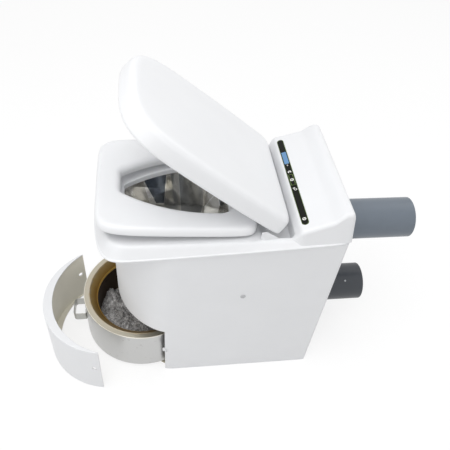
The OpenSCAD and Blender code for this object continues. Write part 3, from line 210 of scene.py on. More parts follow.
def skin(rows, ends=True):
    """A grid of points (rows, columns, 3) in mm as quads between neighbours, closed across the columns. The
    ends are closed by fans on their mean points, or else the last row joins the first. Faces point outwards:
    they are turned round where the signed volume, a . (b x c) / 6 summed over the triangles, is negative."""
    rows = np.asarray(rows, float)
    tall, wide = rows.shape[:2]
    steps = np.meshgrid(np.arange(tall - 1 if ends else tall), np.arange(wide), indexing="ij")
    row, column = (part.ravel() for part in steps)
    here, above, beside = row * wide, (row + 1) % tall * wide, (column + 1) % wide
    faces = [np.stack([here + column, here + beside, above + beside, above + column], 1)]
    points = rows.reshape(-1, 3)
    if ends:
        rim, last = np.arange(wide), (tall - 1) * wide
        rim_next, foot, head = (rim + 1) % wide, np.full(wide, tall * wide), np.full(wide, tall * wide + 1)
        faces += [np.stack([rim_next, rim, foot], 1), np.stack([last + rim, last + rim_next, head], 1)]
        points = np.vstack([points, rows[0].mean(0), rows[-1].mean(0)])
    corners = np.vstack([faces[0][:, :3], faces[0][:, [0, 2, 3]], *faces[1:]])
    first, second, third = (points[corners[:, side]] for side in range(3))
    if (first * np.cross(second, third)).sum() < 0:
        faces = [part[:, ::-1] for part in faces]
    return points, faces


def mesh_of(*skins):
    """Skins in mm joined into one mesh in metres."""
    starts = np.cumsum([0] + [len(points) for points, faces in skins])
    faces = [part + start for (points, parts), start in zip(skins, starts) for part in parts]
    corners = np.concatenate([part.ravel() for part in faces])
    sizes = np.concatenate([np.full(len(part), part.shape[1]) for part in faces])
    mesh = bpy.data.meshes.new("part")
    mesh.vertices.add(starts[-1])
    mesh.vertices.foreach_set("co", np.vstack([points for points, parts in skins]).ravel() / 1000)
    mesh.loops.add(len(corners))
    mesh.loops.foreach_set("vertex_index", corners)
    mesh.polygons.add(len(sizes))
    mesh.polygons.foreach_set("loop_start", np.cumsum(sizes) - sizes)
    mesh.update(calc_edges=True)
    return mesh


def carve(operation, solid, tools):
    """Closed meshes joined to a solid or cut out of it by an operation, one after another."""
    parts = [bpy.data.objects.new("part", mesh) for mesh in (solid, *tools)]
    for part in parts:
        bpy.context.scene.collection.objects.link(part)
    for tool in parts[1:]:
        step = parts[0].modifiers.new("step", "BOOLEAN")
        step.solver, step.operation, step.object = "MANIFOLD", operation, tool
    carved = bpy.data.meshes.new_from_object(parts[0].evaluated_get(bpy.context.evaluated_depsgraph_get()))
    for part in parts:
        bpy.data.objects.remove(part)
    return carved


def cut(solid, *tools):
    """A solid with closed meshes cut out of it."""
    return carve("DIFFERENCE", solid, tools)


def join(solid, *tools):
    """A solid with closed meshes joined to it."""
    return carve("UNION", solid, tools)


def piece(name, mesh, material, body, *stands_for, crease=32):
    """Puts a finished mesh in the scene on its body: smooth but for edges past the crease angle, flats kept
    flat. A list of materials fills the slots in its order."""
    mesh.name = name
    mesh.materials.clear()
    for each in material if isinstance(material, list) else [material]:
        mesh.materials.append(each)
    mesh.shade_smooth()
    mesh.set_sharp_from_angle(angle=np.radians(crease))
    made = bpy.data.objects.new(name, mesh)
    bpy.context.scene.collection.objects.link(made)
    weighted = made.modifiers.new("flats", "WEIGHTED_NORMAL")
    weighted.keep_sharp = True
    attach(made, body)
    if stands_for:
        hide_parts(*stands_for)
    return made


def arc(x, y, r, start, end, steps):
    """Points of an arc about a centre: x + r cos a, y + r sin a, for angles in degrees."""
    a = np.radians(np.linspace(start, end, steps + 1))
    return np.stack([x + r * np.cos(a), y + r * np.sin(a)], 1)


def at_height(outline, z):
    """An outline lifted to a height, which may differ from point to point."""
    return np.c_[outline, np.broadcast_to(z, len(outline))]


def layers(outline, *heights):
    """An outline at each of the heights, as the rows of an upright block."""
    return [at_height(outline, z) for z in heights]


def oblong(x0, x1, y0, y1):
    """Outline of a rectangle between two x and two y."""
    return np.array([(x1, y1), (x0, y1), (x0, y0), (x1, y0)], float)


def block(x0, x1, y0, y1, z0, z1):
    """A plain box for cutting; its two x may come in either order."""
    return mesh_of(skin(layers(oblong(*sorted((x0, x1)), y0, y1), z0, z1)))


def lathe(profile, centre, axis, steps=128, ends=True):
    """A turned piece: the profile's (radius, distance along) points swung round an axis through a centre."""
    axis = np.array(axis, float) / np.linalg.norm(axis)
    side = np.cross(axis, (0, 0, 1) if abs(axis[2]) < 0.9 else (1, 0, 0))
    side /= np.linalg.norm(side)
    a = np.linspace(0, 2 * np.pi, steps, endpoint=False)[:, None]
    round_it = np.cos(a) * side + np.sin(a) * np.cross(axis, side)
    profile = np.asarray(profile, float)[:, None]
    return skin(np.array(centre) + profile[..., :1] * round_it + profile[..., 1:] * axis, ends)


def rod(centre, axis, r, length, steps=64):
    """A round rod for cutting, from a centre along an axis."""
    return mesh_of(lathe([(r, 0), (r, length)], centre, axis, steps))


def shell_plan(half_width, rear, inset):
    """Outline of the shell, drawn in by an inset: a wide arc in front, an arc at each side tangent to it, and
    rounded rear corners."""
    front, cheek, corner, nose = 268, 110, 10, half_width + 13
    x, nose_y = half_width - cheek, nose - front
    y = nose_y - np.sqrt((nose - cheek) ** 2 - x ** 2)
    meet = np.degrees(np.arctan2(nose_y - y, x))
    return np.vstack([
        arc(half_width - corner, rear - corner, corner - inset, 0, 90, 10),
        arc(corner - half_width, rear - corner, corner - inset, 90, 180, 10),
        arc(-x, y, cheek - inset, 180, 180 + meet, 24),
        arc(0, nose_y, nose - inset, 180 + meet, 360 - meet, 90),
        arc(x, y, cheek - inset, 360 - meet, 360, 24)])


def lip(y):
    """Height of the top cover's lower edge, which rises towards the back."""
    return lip_z + lip_rise * y


def shell_side(inset):
    """Rows of the shell's outline from the floor straight up to just under the lip, drawn in by an inset."""
    low, high = shell_plan(floor_hw, floor_rear, inset), shell_plan(top_hw, top_rear, inset)
    share = np.array([0, 0.004, 0.3, 0.6, 1])[:, None, None]
    return at_height(low, 0) * (1 - share) + at_height(high, lip(high[:, 1]) - lip_gap) * share


inside_rear = floor_rear - 40
wall = mesh_of(skin(np.concatenate([shell_side(0), shell_side(shell_wall)[::-1]]), ends=False))
front_gap = block(-200, 200, -280, opening_y, -1, opening_h)
notches = [block(side * 174.1, side * 198, opening_y - 4, notch_rear, stud_z - 6.7, stud_z + 6.7)
           for side in (-1, 1)]
pipe_holes = [rod((0, inside_rear, z), (0, 1, 0), collar_r + 0.3, 80) for z in (exhaust_z, intake_z)]
gland_hole = rod((-132, inside_rear, 52), (0, 1, 0), gland_r, 80)
ledges = [block(side * 178.2, side * 183, notch_rear, notch_rear + 3, stud_z - 14, stud_z + 14)
          for side in (-1, 1)]
wall = join(cut(wall, front_gap, *notches, *pipe_holes, gland_hole), *ledges)
piece("shell", wall, moulded("HDPE, moulded white shell", "#ECEDEF", 0.4, 1.1, 0.02), "toilet", "body_shell")


# Inner frame and drawer rails: brackets that carry the chamber, and the channels in which the ash container
# runs. Bent from galvanised sheet steel, whose zinc shows as a faint cloud of spangle.
def metal(name, colour, roughness, grain=0.6, stretch=(1, 1, 1), depth=0.02, stain=None, cloud=70):
    """Sheet metal: its own reflecting colour, fine working lines as far apart as the grain, drawn out along
    the axes where the stretch is small, and clouds of handling marks; all sizes in mm."""
    made, tree, place = patterned(name)
    drawn = add(tree, "Mapping", {"Scale": stretch}, Vector=place)
    lines = noise(tree, drawn, grain, 2.0)
    soft = noise(tree, place, cloud, 4.0)
    tint = add(tree, "MixRGB", {1: linear(stain or colour), 2: linear(colour)}, Fac=soft)
    gloss = spread(tree, soft, roughness - 0.06, roughness + 0.1)
    bump = relief(tree, lines, 0.3, depth)
    return surfaced(made, {"Metallic": 1.0}, Base_Color=tint, Roughness=gloss, Normal=bump)


galvanised = metal("Steel, galvanised and bent sheet", "#A8ABAD", 0.4, 1.5, stain="#8D9092", cloud=12)
finish(galvanised, "inner_frame", "drawer_rails")


# Combustion chamber: a drum of heat-resisting steel with its ring-shaped heating element, packed in ceramic
# fibre inside a thin jacket. The steel has blued and browned with heat; the fibre is chalky and soft.
scorched = metal("Heat-resisting steel, rolled and heat-blued", "#8A7D72", 0.42, 1.0, stain="#5D5148",
                 cloud=45)
fibre = moulded("Ceramic fibre, needled blanket", "#E4DDCB", 0.95, 2.0, 0.3, 0.03, cloud=25)
finish(scorched, "combustion_chamber", "heating_element")
finish(fibre, "chamber_insulation", "chamber_seal")
finish(metal("Steel, spot-welded bright jacket", "#B4B7B8", 0.35, 0.8, stain="#9FA2A4"), "chamber_jacket")
brushed = metal("Stainless steel, brushed", "#C6C7C7", 0.28, 0.4, (1, 0.08, 1), cloud=60)
finish(brushed, "thermocouple")


# Hatch: two leaves that close the top of the chamber under the bowl, in a pressed frame, turned by a small
# gear motor with a black polyamide case.
finish(galvanised, "hatch_frame")
finish(brushed, "hatch_leaf_left", "hatch_leaf_right")
black_case = moulded("Polyamide, moulded black", "#2B2D30", 0.48, 0.8, 0.03)
finish(black_case, "hatch_motor")


# Exhaust and air parts behind the chamber: folded galvanised boxes and duct, the catalyst's extruded ceramic
# honeycomb, the fan with its motor, and the painted case of the power unit.
finish(galvanised, "exhaust_duct", "catalyst_box", "air_box", "fan_housing")
finish(moulded("Cordierite, extruded honeycomb", "#C9BFA8", 0.85, 0.8, 0.1, 0.04, cloud=20), "catalyst")
finish(black_case, "fan_rotor", "fan_motor")
finish(moulded("Steel, powder-coated grey case", "#6C7074", 0.5, 0.7, 0.05), "power_unit")


# Pipes: a grey PVC exhaust pipe above and a darker air pipe below, extruded, sawn off and softened at the
# edge, each in a rubber collar. A self-tapping screw pins the air pipe; a gland takes the mains cable.
pipe_r, pipe_in, neck_r, neck_end = 55.0, 51.8, 53.5, 297.0
exhaust_start, exhaust_end = (corner[1] * 1000 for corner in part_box("exhaust_pipe"))
intake_start, intake_end = (corner[1] * 1000 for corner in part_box("intake_pipe"))


def extruded(name, colour, roughness, line, bloom):
    """Extruded PVC: faint draw lines along the pipe as wide as the line, and a chalky bloom in patches of the
    bloom's size, in mm."""
    made, tree, place = patterned(name)
    drawn = add(tree, "Mapping", {"Scale": (1, 0.01, 1)}, Vector=place)
    lines = noise(tree, drawn, line, 3.0)
    patch = noise(tree, place, bloom, 5.0, 0.65)
    tint = add(tree, "MixRGB", {1: linear(colour), 2: linear(colour, 1.16, 0.006)}, Fac=patch)
    gloss = spread(tree, patch, roughness - 0.06, roughness + 0.08)
    bump = relief(tree, lines, 0.25, 0.03)
    return surfaced(made, {"IOR": 1.53}, Base_Color=tint, Roughness=gloss, Normal=bump)


def hoop(profile, z):
    """A hollow round piece about a pipe's middle line, from the closed profile's (radius, y) points."""
    return lathe(profile, (0, 0, z), (0, 1, 0), ends=False)


def sawn_end(end):
    """Rounded rim of a pipe's end, from its outside over to its inside: a half circle as thick as the
    wall."""
    half = (pipe_r - pipe_in) / 2
    return arc((pipe_in + pipe_r) / 2, end - half, half, 0, 180, 12)


exhaust = [(pipe_in, exhaust_start), (neck_r, exhaust_start), (neck_r, neck_end - 0.4),
           (pipe_r - 0.4, neck_end), (pipe_r, neck_end + 0.5), *sawn_end(exhaust_end)]
piece("exhaust", mesh_of(hoop(exhaust, exhaust_z)),
      extruded("PVC, extruded grey pipe", "#646D77", 0.34, 2.5, 60), "toilet", "exhaust_pipe")
screw_turn = np.radians(38)
screw_axis = np.array([np.sin(screw_turn), 0, np.cos(screw_turn)])
screw_at = np.array([0, 404, intake_z])
intake = mesh_of(hoop([(pipe_in, intake_start), (pipe_r, intake_start), *sawn_end(intake_end)], intake_z))
intake = cut(intake, rod(screw_at, screw_axis, 1.65, 70, 24))
piece("intake", intake, extruded("PVC, extruded dark grey pipe", "#363A40", 0.38, 2.5, 60), "toilet",
      "intake_pipe")

collar_t, squeeze = 14, 0.03
rings = []
for z, bore in ((exhaust_z, neck_r), (intake_z, pipe_r)):
    rear_wall = floor_rear + (top_rear - floor_rear) * z / lip_z
    ring = [(bore + squeeze, 0), (collar_r, 0), (collar_r, 10.5), (collar_r - 2.9, 12.6),
            (bore + 1.6, collar_t), (bore + squeeze, collar_t)]
    ring = np.array(ring) + (0, rear_wall - shell_wall / 2 - collar_t / 2)
    rings.append(hoop(np.repeat(ring, 2, 0), z))
rubber = moulded("EPDM rubber, moulded black", "#26282A", 0.62, 0.6, 0.04, 0.03)
piece("collars", mesh_of(*rings), rubber, "toilet", "pipe_collars")

slot_r, slot_l, slot_up = 0.45, 3.8, 1.9
head = [(1.6, -2.8), (1.6, 0.1), (3.2, 0.1), (3.2, 0.6), (2.95, 1.2), (2.3, 1.6), (1.2, 1.7)]
screw = mesh_of(lathe(np.array(head) + (0, pipe_r), screw_at, screw_axis, 40))
for turn in np.radians((30, 120)):
    along = np.cos(turn) * np.array([0, 1, 0]) + np.sin(turn) * np.cross(screw_axis, (0, 1, 0))
    slot_at = screw_at + (pipe_r + slot_up) * screw_axis - slot_l / 2 * along
    screw = cut(screw, rod(slot_at, along, slot_r, slot_l, 12))
piece("pipe_screw", screw, galvanised, "toilet", "pipe_screws")
finish(black_case, "cable_gland")


# Bowl: eight folds of thin polished stainless sheet that funnel down to the hatch, hung from a grey rubber
# gasket under the cover. Its colour carries painted reflections of the room in long dark and bright bands.
def progress(tree, value, start, end):
    """How far a value has come from a start to an end, as 0 to 1."""
    return add(tree, "MapRange", {"From Min": start, "From Max": end}, Value=value)


def painted_reflection_folds(name, colours, band, streak):
    """Polished sheet with painted reflections of the room: flat, straight-edged patches of slate, grey and
    bright steel, as wide as the band and long down the folds, with painted highlight lines between them,
    over fine streaks, in mm."""
    made, tree, place = patterned(name)
    drawn = add(tree, "Mapping", {"Scale": (1, 1, 0.14), "Rotation": (0.2, 0.3, 0.2)}, Vector=place)
    cells = {"Scale": 1000 / band, "Randomness": 0.9}
    patch = add(tree, "TexVoronoi", cells, Vector=drawn).outputs["Color"]
    edge = add(tree, "TexVoronoi", {**cells, "feature": "DISTANCE_TO_EDGE"}, Vector=drawn).outputs["Distance"]
    # Painted reflections: the slate, grey and white patches stand for the room, and the edge lines are
    # painted highlights.
    dark, middle, bright = (linear(colour) for colour in colours)
    shade = progress(tree, patch, 0.25, 0.4)
    shine = progress(tree, patch, 0.7, 0.8)
    line = progress(tree, edge, 0.012, 0.004)
    either = add(tree, "Math", {"operation": "MAXIMUM"}, _0=shine, _1=line)
    tint = add(tree, "MixRGB", {1: dark, 2: middle}, Fac=shade)
    tint = add(tree, "MixRGB", {2: bright}, Fac=either, _1=tint)
    lines = noise(tree, drawn, streak, 2.0)
    bump = relief(tree, lines, 0.2, 0.02)
    return surfaced(made, {"Metallic": 0.85, "Roughness": 0.08}, Base_Color=tint, Normal=bump)


# Painted reflections: the room's dark, grey and bright tones as seen in polished steel.
painted_room_reflection = ("#727983", "#D6D4CE", "#FFFFFF")
finish(painted_reflection_folds("Stainless steel, folded and polished, painted reflections", painted_room_reflection, 46, 0.8), "bowl")
finish(moulded("Silicone rubber, moulded grey gasket", "#B9BBBD", 0.6, 0.6, 0.02), "bowl_gasket")


# Top cover: the wide white moulding that caps the shell, with a soft bead along its lower edge, a flat
# platform under the seat, a trough for the hinges and the raised console behind it. Moulded in white ABS.
cover_wall, platform_z, console_end, console_slope = 4, 524, 291, 0.33
trough_hw, trough_front, trough_rear, trough_r = 168.8, 83, 160, 6
trough_foot, trough_floor = 495, 499
strip_l, strip_w, strip_t, strip_y, strip_gap = 320, 17, 2, 184, 0.3
start_x, start_stem_r, lock_x, lock_stem_r = 4.0, 4.5, 142.0, 4


def squared_oval(turn, inset, half_width, front, mid, rear, bow, square, taper):
    """Outline, drawn in by an inset, where |x / half width| ^ p + |y / reach| ^ q = 1 along each ray of the
    turn angles, found by halving. Ahead of its widest line, at mid, p is the bow; elsewhere p and q are the
    squareness. x narrows by the taper times y squared. Squareness and taper are pairs, front and rear."""
    half_width, front, rear = half_width - inset, front + inset, rear - inset
    c, s = np.abs(np.cos(turn)), np.abs(np.sin(turn))
    ahead = np.sin(turn) < 0
    p, q = np.where(ahead, bow, square[1]), np.where(ahead, *square)
    short, long = np.zeros_like(turn), np.full_like(turn, 1.5)
    for halving in range(40):
        ray = (short + long) / 2
        outside = (ray * c) ** p + (ray * s) ** q > 1
        short, long = np.where(outside, short, ray), np.where(outside, ray, long)
    u = ray * s
    x = half_width * (1 - np.where(ahead, *taper) * u * u) * ray * c * np.sign(np.cos(turn))
    return np.stack([x, mid + np.where(ahead, front - mid, rear - mid) * u], 1)


def even_turns(outline, count):
    """Turn angles that space an outline's points by its length and, as much again, by how it bends."""
    fine = (np.arange(6000) + 0.5) / 6000 * 2 * np.pi
    at = outline(fine, 0)
    step = np.roll(at, -1, 0) - at
    length = np.hypot(*step.T)
    bend = np.abs(np.diff(np.unwrap(np.arctan2(step[:, 1], step[:, 0])), prepend=0))
    bend[0] = bend[1]
    run = np.cumsum(length / length.sum() + 1.5 * bend / bend.sum())
    return np.interp((np.arange(count) + 0.5) / count * run[-1], run, fine)


def soften(rows, times=2):
    """Corner cutting: each pair of neighbouring rows gives rows at a quarter and three quarters, and both
    ends stay."""
    rows = np.asarray(rows, float)
    for again in range(times):
        near, far = rows[:-1] * 0.75 + rows[1:] * 0.25, rows[:-1] * 0.25 + rows[1:] * 0.75
        rows = np.concatenate([rows[:1], np.stack([near, far], 1).reshape(-1, *rows.shape[1:]), rows[-1:]])
    return rows


def skirt(turn, inset):
    """Plan of the cover, drawn in by an inset."""
    return squared_oval(turn, inset, 195, -304, 0, 296, bow=2.3, square=(16, 26), taper=(0.01, 0.02))


def bead_row(inset, up):
    """Plan of the cover, drawn in by an inset, at a height above the lip."""
    outline = skirt(skirt_turns, inset)
    return at_height(outline, lip(outline[:, 1]) + up)


def shoulder_row(inset, share, top):
    """Plan of the cover, drawn in by an inset, a share of the way from the top of the bead to a height."""
    outline = skirt(skirt_turns, inset)
    foot = np.minimum(lip(outline[:, 1]) + 6, top - 3)
    return at_height(outline, foot + share * (top - foot))


def skirt_form(wall):
    """The skirt and platform: rows that step in from the bead over the shoulder; with a wall, its hollow."""
    sides = [shoulder_row(inset + wall, share, platform_z - wall)
             for inset, share in [(3, 0), (8, 0.35), (13, 0.72), (17, 0.92), (21, 1), (30, 1)]]
    if wall:
        return skin(sides[:-1])
    bead = [bead_row(inset, up) for inset, up in [(9, 0), (2, 0), (0, 1.2), (0, 4.6), (2.6, 6.2)]]
    return skin(soften(bead + sides))


def rise(t):
    """Smooth step: 3 t^2 - 2 t^3."""
    t = np.clip(t, 0, 1)
    return t * t * (3 - 2 * t)


def console_top(y):
    """Height of the console along the middle: up from the platform, a slope, and a last lift behind."""
    step = 27 * rise((y - 152) / 22)
    slope = console_slope * np.clip(np.minimum(y, 275) - 165, 0, None)
    return platform_z + step + slope + 12.5 * rise((y - 240) / 32)


def rounding(past, r):
    """How far a round edge has dropped, at a distance past its start: r - sqrt(r^2 - d^2)."""
    return r - np.sqrt(np.clip(r ** 2 - np.clip(past, 0, None) ** 2, 0, None))


def console_form(wall):
    """The console as sections across it: upright sides, rounded edges and a flat top, with a rear face that
    leans out; with a wall, its hollow."""
    end, edge, corner, lean_from = console_end - wall, 9, 15, 30
    y = np.r_[np.arange(148 + wall, 188, 1.5), np.linspace(190, end - edge, 22),
              end - edge * (1 - np.sin(np.radians(np.arange(8, 91, 8))))][:, None]
    top = console_top(y) - rounding(y - console_end + edge, edge) - wall
    hw = 173 + 15 * rise((y - 144) / 34) - rounding(y - console_end + 10, corner)
    floor = lip(y) + 5 - (8 if wall else 0)
    r = np.minimum(11 - wall / 2, np.clip((top - floor) * 0.45, 1, None))
    inner = hw - wall - 0.13 * (top - platform_z) - r
    a = np.radians(np.arange(0, 91, 7.5))
    across = np.linspace(1, -1, 9)[1:-1] * np.ones_like(y)
    foot = hw - wall + 1
    x = np.hstack([-foot, -inner - r * np.cos(a), -inner * across, inner + r * np.sin(a), foot])
    z = np.hstack([floor, top - r + r * np.sin(a), top + 0 * across, top - r + r * np.cos(a), floor])
    lean = 0.055 * np.clip(y - end + lean_from, 0, None) / lean_from * (console_top(end) - z)
    return skin(np.stack([x, y + lean, z], 2))


def opening(grow):
    """Outline of the seat opening, grown outwards: flat front, long side curves and round rear corners."""
    side_x, side_y, side_r = -249.0, -25, 354
    front_y, front_r = -221.0, 14
    rear_x, rear_y, rear_r = 71, -8, 34
    front_x = side_x + np.sqrt((side_r - front_r) ** 2 - (front_y - side_y) ** 2)
    turn = np.degrees(np.arctan2(side_y - front_y, front_x - side_x))
    return np.vstack([
        arc(rear_x, rear_y, rear_r + grow, 0, 90, 16), arc(-rear_x, rear_y, rear_r + grow, 90, 180, 16),
        arc(-side_x, side_y, side_r + grow, 180, 180 + turn, 30),
        arc(-front_x, front_y, front_r + grow, 180 + turn, 270, 10),
        arc(front_x, front_y, front_r + grow, 270, 360 - turn, 10),
        arc(side_x, side_y, side_r + grow, 360 - turn, 360, 30)])


def rolled_opening(grow, r, foot, edge, top):
    """Rows of a tool that cuts the seat opening, grown outwards: upright from the foot to the edge, then
    rolled over outwards in a quarter circle, and upright again to the top."""
    a = np.radians(np.arange(0, 91, 10))
    rolled = [at_height(opening(grow + r * (1 - c)), edge + r * s) for c, s in zip(np.cos(a), np.sin(a))]
    return [at_height(opening(grow), foot), *rolled, at_height(opening(grow + r), top)]


def rounded(half_width, y0, y1, r, steps):
    """Outline of a rectangle with rounded corners."""
    x = half_width - r
    return np.vstack([arc(x, y1 - r, r, 0, 90, steps), arc(-x, y1 - r, r, 90, 180, steps),
                      arc(-x, y0 + r, r, 180, 270, steps), arc(x, y0 + r, r, 270, 360, steps)])


def trough(wall, bottom, top):
    """The hinge trough as a block with rounded corners, grown by a wall, between two heights."""
    outline = rounded(trough_hw + wall, trough_front - wall, trough_rear + wall, trough_r + wall, 8)
    return mesh_of(skin(layers(outline, bottom, top)))


def on_strip(rows, x=0):
    """Points drawn flat, set on the console's slope: turned about x by the tilt, then moved to the strip."""
    rows = np.asarray(rows, float)
    y, z = rows[..., 1], rows[..., 2]
    return np.stack([rows[..., 0] + x, strip_y + y * np.cos(tilt) - z * np.sin(tilt),
                     strip_z + y * np.sin(tilt) + z * np.cos(tilt)], -1)


def pill(length, width, steps=24):
    """Outline with fully round ends."""
    r = width / 2
    return np.vstack([arc(length / 2 - r, 0, r, -90, 90, steps), arc(r - length / 2, 0, r, 90, 270, steps)])


tilt = np.arctan(console_slope)
strip_z = (console_top(strip_y + 7.0) + console_top(strip_y - 7.0)) / 2 + 0.6
skirt_turns = even_turns(skirt, 260)
# Cut away are the hollow under the platform, but for a collar round the opening and the trough's walls, the
# console's hollow, the well for the shell's top, the rolled mouth, the trough, the strip's pocket and the
# holes for the keys' stems. The tools reach past the faces that they cut.
collar = mesh_of(skin(layers(opening(-1), 510, 530)))
trough_walls = trough(cover_wall, trough_foot, 545)
hollow = cut(mesh_of(skirt_form(cover_wall)), collar, trough_walls)
console_hollow = cut(mesh_of(console_form(cover_wall)), trough_walls)
well_plan = shell_plan(top_hw, top_rear, 5.5)
well = mesh_of(skin([at_height(well_plan, lip(well_plan[:, 1]) + up) for up in (-2, 8)]))
well = cut(well, collar, trough_walls)
mouth = mesh_of(skin(rolled_opening(-5, 3, 494, platform_z - 3, 540)))
pocket_plan = pill(strip_l + 2 * strip_gap, strip_w + 2 * strip_gap)
pocket = mesh_of(skin(on_strip(layers(pocket_plan, -strip_t - strip_gap, 12))))
stems = [rod(on_strip([0, 0, -12.0], x), (0, -np.sin(tilt), np.cos(tilt)), r, 14)
         for x, r in ((start_x, start_stem_r), (lock_x, lock_stem_r))]
cover = join(mesh_of(skirt_form(0)), mesh_of(console_form(0)))
cover = cut(cover, hollow, well, console_hollow, mouth)
cover = join(cover, trough(cover_wall, trough_foot, 518))
cover = cut(cover, trough(0, trough_floor, 599), pocket, *stems)
white_abs = moulded("ABS, moulded white", "#ECEDEF", 0.38, 0.9, 0.015)
piece("cover", cover, white_abs, "toilet", "top_cover")


# Control strip: a long black pill of printed acrylic let into the console, with a start key and a lock key on
# stems, a small blue display and the circuit board under it. Its marks are screen-printed in white and green.
def circle(x, y, r, steps):
    """Points of a whole circle."""
    return arc(x, y, r, 0, 360, steps)[:-1]


def sideways(along):
    """The direction to the right of each step along a path, one long: (y, -x) / |(x, y)|."""
    return np.stack([along[:, 1], -along[:, 0]], 1) / np.hypot(*along.T)[:, None]


def stroke(path, width, x, top=0.0, closed=False):
    """A printed line 0.05 mm thick along a path drawn flat: each point moves half the width to either
    side."""
    path = np.asarray(path, float)
    along = np.roll(path, -1, 0) - np.roll(path, 1, 0) if closed else np.gradient(path, axis=0)
    across = sideways(along) * width / 2
    low, high = top - 0.02, top + 0.03
    corners = [(path + across, low), (path - across, low), (path - across, high), (path + across, high)]
    return skin(on_strip(np.stack([at_height(points, z) for points, z in corners], 1), x), not closed)


def lit(name, colour, share, grain):
    """Printing ink or a lit display: its colour with a faint grain, glowing by a share of it."""
    made, tree, place = patterned(name)
    fine = noise(tree, place, grain, 2.0)
    tint = add(tree, "MixRGB", {1: linear(colour, 0.72), 2: linear(colour)}, Fac=fine)
    return surfaced(made, {"Roughness": 0.35, "Emission Strength": share},
                    Base_Color=tint, Emission_Color=tint)


black_print = moulded("Acrylic, back-printed black", "#0E100A", 0.4, 0.5, 0.004, 0.05, 30, 0.15)
finish(black_print, "control_strip", "start_key", "lock_key")
finish(lit("Display, lit blue liquid crystal", "#6896C4", 0.05, 9), "display_window")
laminate = moulded("Glass-fibre laminate, green board", "#2E6B46", 0.45, 0.7, 0.02, 0.05, cloud=15)
finish(laminate, "control_board")
# The white and green inks and the display's dark segments glow faintly: painted light.
white_ink = lit("Ink, screen-printed white", "#F2F2EE", 0.1, 1.5)
green_ink = lit("Ink, screen-printed green", "#7C9A45", 0.1, 1.5)
deep_ink = lit("Liquid crystal, dark segments", "#4A76AE", 0.1, 1.5)

key_top, line_in = 0.8, 1.1
edge_line = pill(strip_l - line_in, strip_w - line_in)
piece("strip_outline", mesh_of(stroke(edge_line, 0.6, 0, closed=True)), green_ink, "toilet")
frame_line = rounded(19.2, -4.7, 4.7, 2.6, 6) * (1.04, 1)
piece("start_key_outline", mesh_of(stroke(frame_line, 0.7, start_x, key_top, closed=True)), green_ink,
      "start_key")
gauge_x, bars_x, small_x, large_x = -27, -53, 34.6, 39.4
marks = [stroke(arc(0, 0, 3.3, 40, 330, 24), 2.1, gauge_x),
         stroke([(-1.4, 0.4), (1.2, 0.4)], 1.2, gauge_x - 1),
         stroke([(-1.8, -1.6), (-1.8, 1.6)], 1.1, bars_x),
         stroke([(1.6, -1.6), (1.6, 1.6)], 1.1, bars_x),
         stroke([(-1.8, 0), (1.6, 0)], 0.9, bars_x),
         stroke(circle(0, -1.2, 2.4, 24), 1.2, small_x, closed=True),
         stroke(arc(0, 1.6, 2.9, 200, 500, 24), 1.5, large_x)]
piece("strip_marks", mesh_of(*marks), white_ink, "toilet")
start_mark = [stroke(circle(0, 0, 3.4, 32), 2.3, start_x, key_top, closed=True),
              stroke([(0, 0.2), (0, 2.6)], 1.0, start_x, key_top + 0.01)]
piece("start_key_mark", mesh_of(*start_mark), white_ink, "start_key")
lock_mark = [stroke(circle(0, 0, 3.6, 32), 1.9, lock_x, key_top, closed=True),
             stroke([(-2.6, 1.9), (2.6, -1.9)], 1.3, lock_x, key_top + 0.01)]
piece("lock_key_mark", mesh_of(*lock_mark), white_ink, "lock_key")
display_x, upper, lower = -83.0, 2.6, -2.4
segments = [stroke([(x - 2.6, y), (x + 2.6, y)], 1.5, display_x)
            for y, row in ((upper, (-18, -11, -1, 6)), (lower, (-18, -8, -1, 13))) for x in row]
piece("display_segments", mesh_of(*segments), deep_ink, "toilet")


# Hinges: steel pins through posts that stand in the trough, and a white cheek at either side of it. The posts
# and the cheeks are moulded in the same white ABS as the cover; the pins are brushed stainless rod.
finish(brushed, "hinge_pins")
finish(white_abs, "hinge_posts", "hinge_cheeks")


# Seat: a thick hollow ring in white polypropylene, standing a little open on its hinges. Its opening rolls
# over in a quarter circle and its outside has a soft edge.
hinge_y, hinge_z, seat_open, seat_z = 89, 556, 3.2, 529
knuckle_x, knuckle_w, boss_r = 76, 14, 9


def turned(points, angle):
    """Points turned about the hinge line, front end up, by an angle in degrees."""
    points = np.asarray(points, float)
    a, dy, dz = np.radians(angle), points[..., 1] - hinge_y, points[..., 2] - hinge_z
    y, z = dy * np.cos(a) + dz * np.sin(a), dz * np.cos(a) - dy * np.sin(a)
    return np.stack([points[..., 0], hinge_y + y, hinge_z + z], -1)


def seat_solid(rows):
    """A closed mesh from rows drawn with the seat closed, turned up to where it stands."""
    return mesh_of(skin(turned(rows, seat_open)))


def seat_plan(turn, inset):
    """Plan of the seat, drawn in by an inset."""
    return squared_oval(turn, inset, 169, -294, -20, 80, bow=8.5, square=(8.5, 8), taper=(0.03, 0.02))


turns = even_turns(seat_plan, 220)
rows = [(9, 0), (3, 0), (0.4, 2), (0, 7), (1, 15), (3.6, 20.5), (8, 23.2), (14, 24), (26, 24)]
ring = seat_solid(soften([at_height(seat_plan(turns, inset), seat_z + up) for inset, up in rows]))
kept = [seat_solid(layers(opening(8), seat_z - 2, seat_z + 31))]
for side in (-1, 1):
    plan = oblong(knuckle_x - knuckle_w / 2, knuckle_x + knuckle_w / 2, 50, 90) * (side, 1)
    kept.append(seat_solid(layers(plan, seat_z, seat_z + 31)))
    for x, y in ((138, -225), (142, 50)):
        kept.append(seat_solid(layers(circle(side * x, y, boss_r, 48), seat_z - 1, seat_z + 26)))
room = seat_solid([at_height(seat_plan(turns, inset), seat_z + up) for inset, up in ((7, -1), (9, 16.5))])
roll = seat_solid(rolled_opening(0, 16, seat_z - 1, seat_z + 8, seat_z + 27))
white_seat = moulded("Polypropylene, moulded white seat and lid", "#EFF0F2", 0.34, 0.8, 0.012)
piece("seat", cut(ring, cut(room, *kept), roll), white_seat, "seat", "seat_ring")
finish(brushed, "seat_hinges", "lid_hinges")
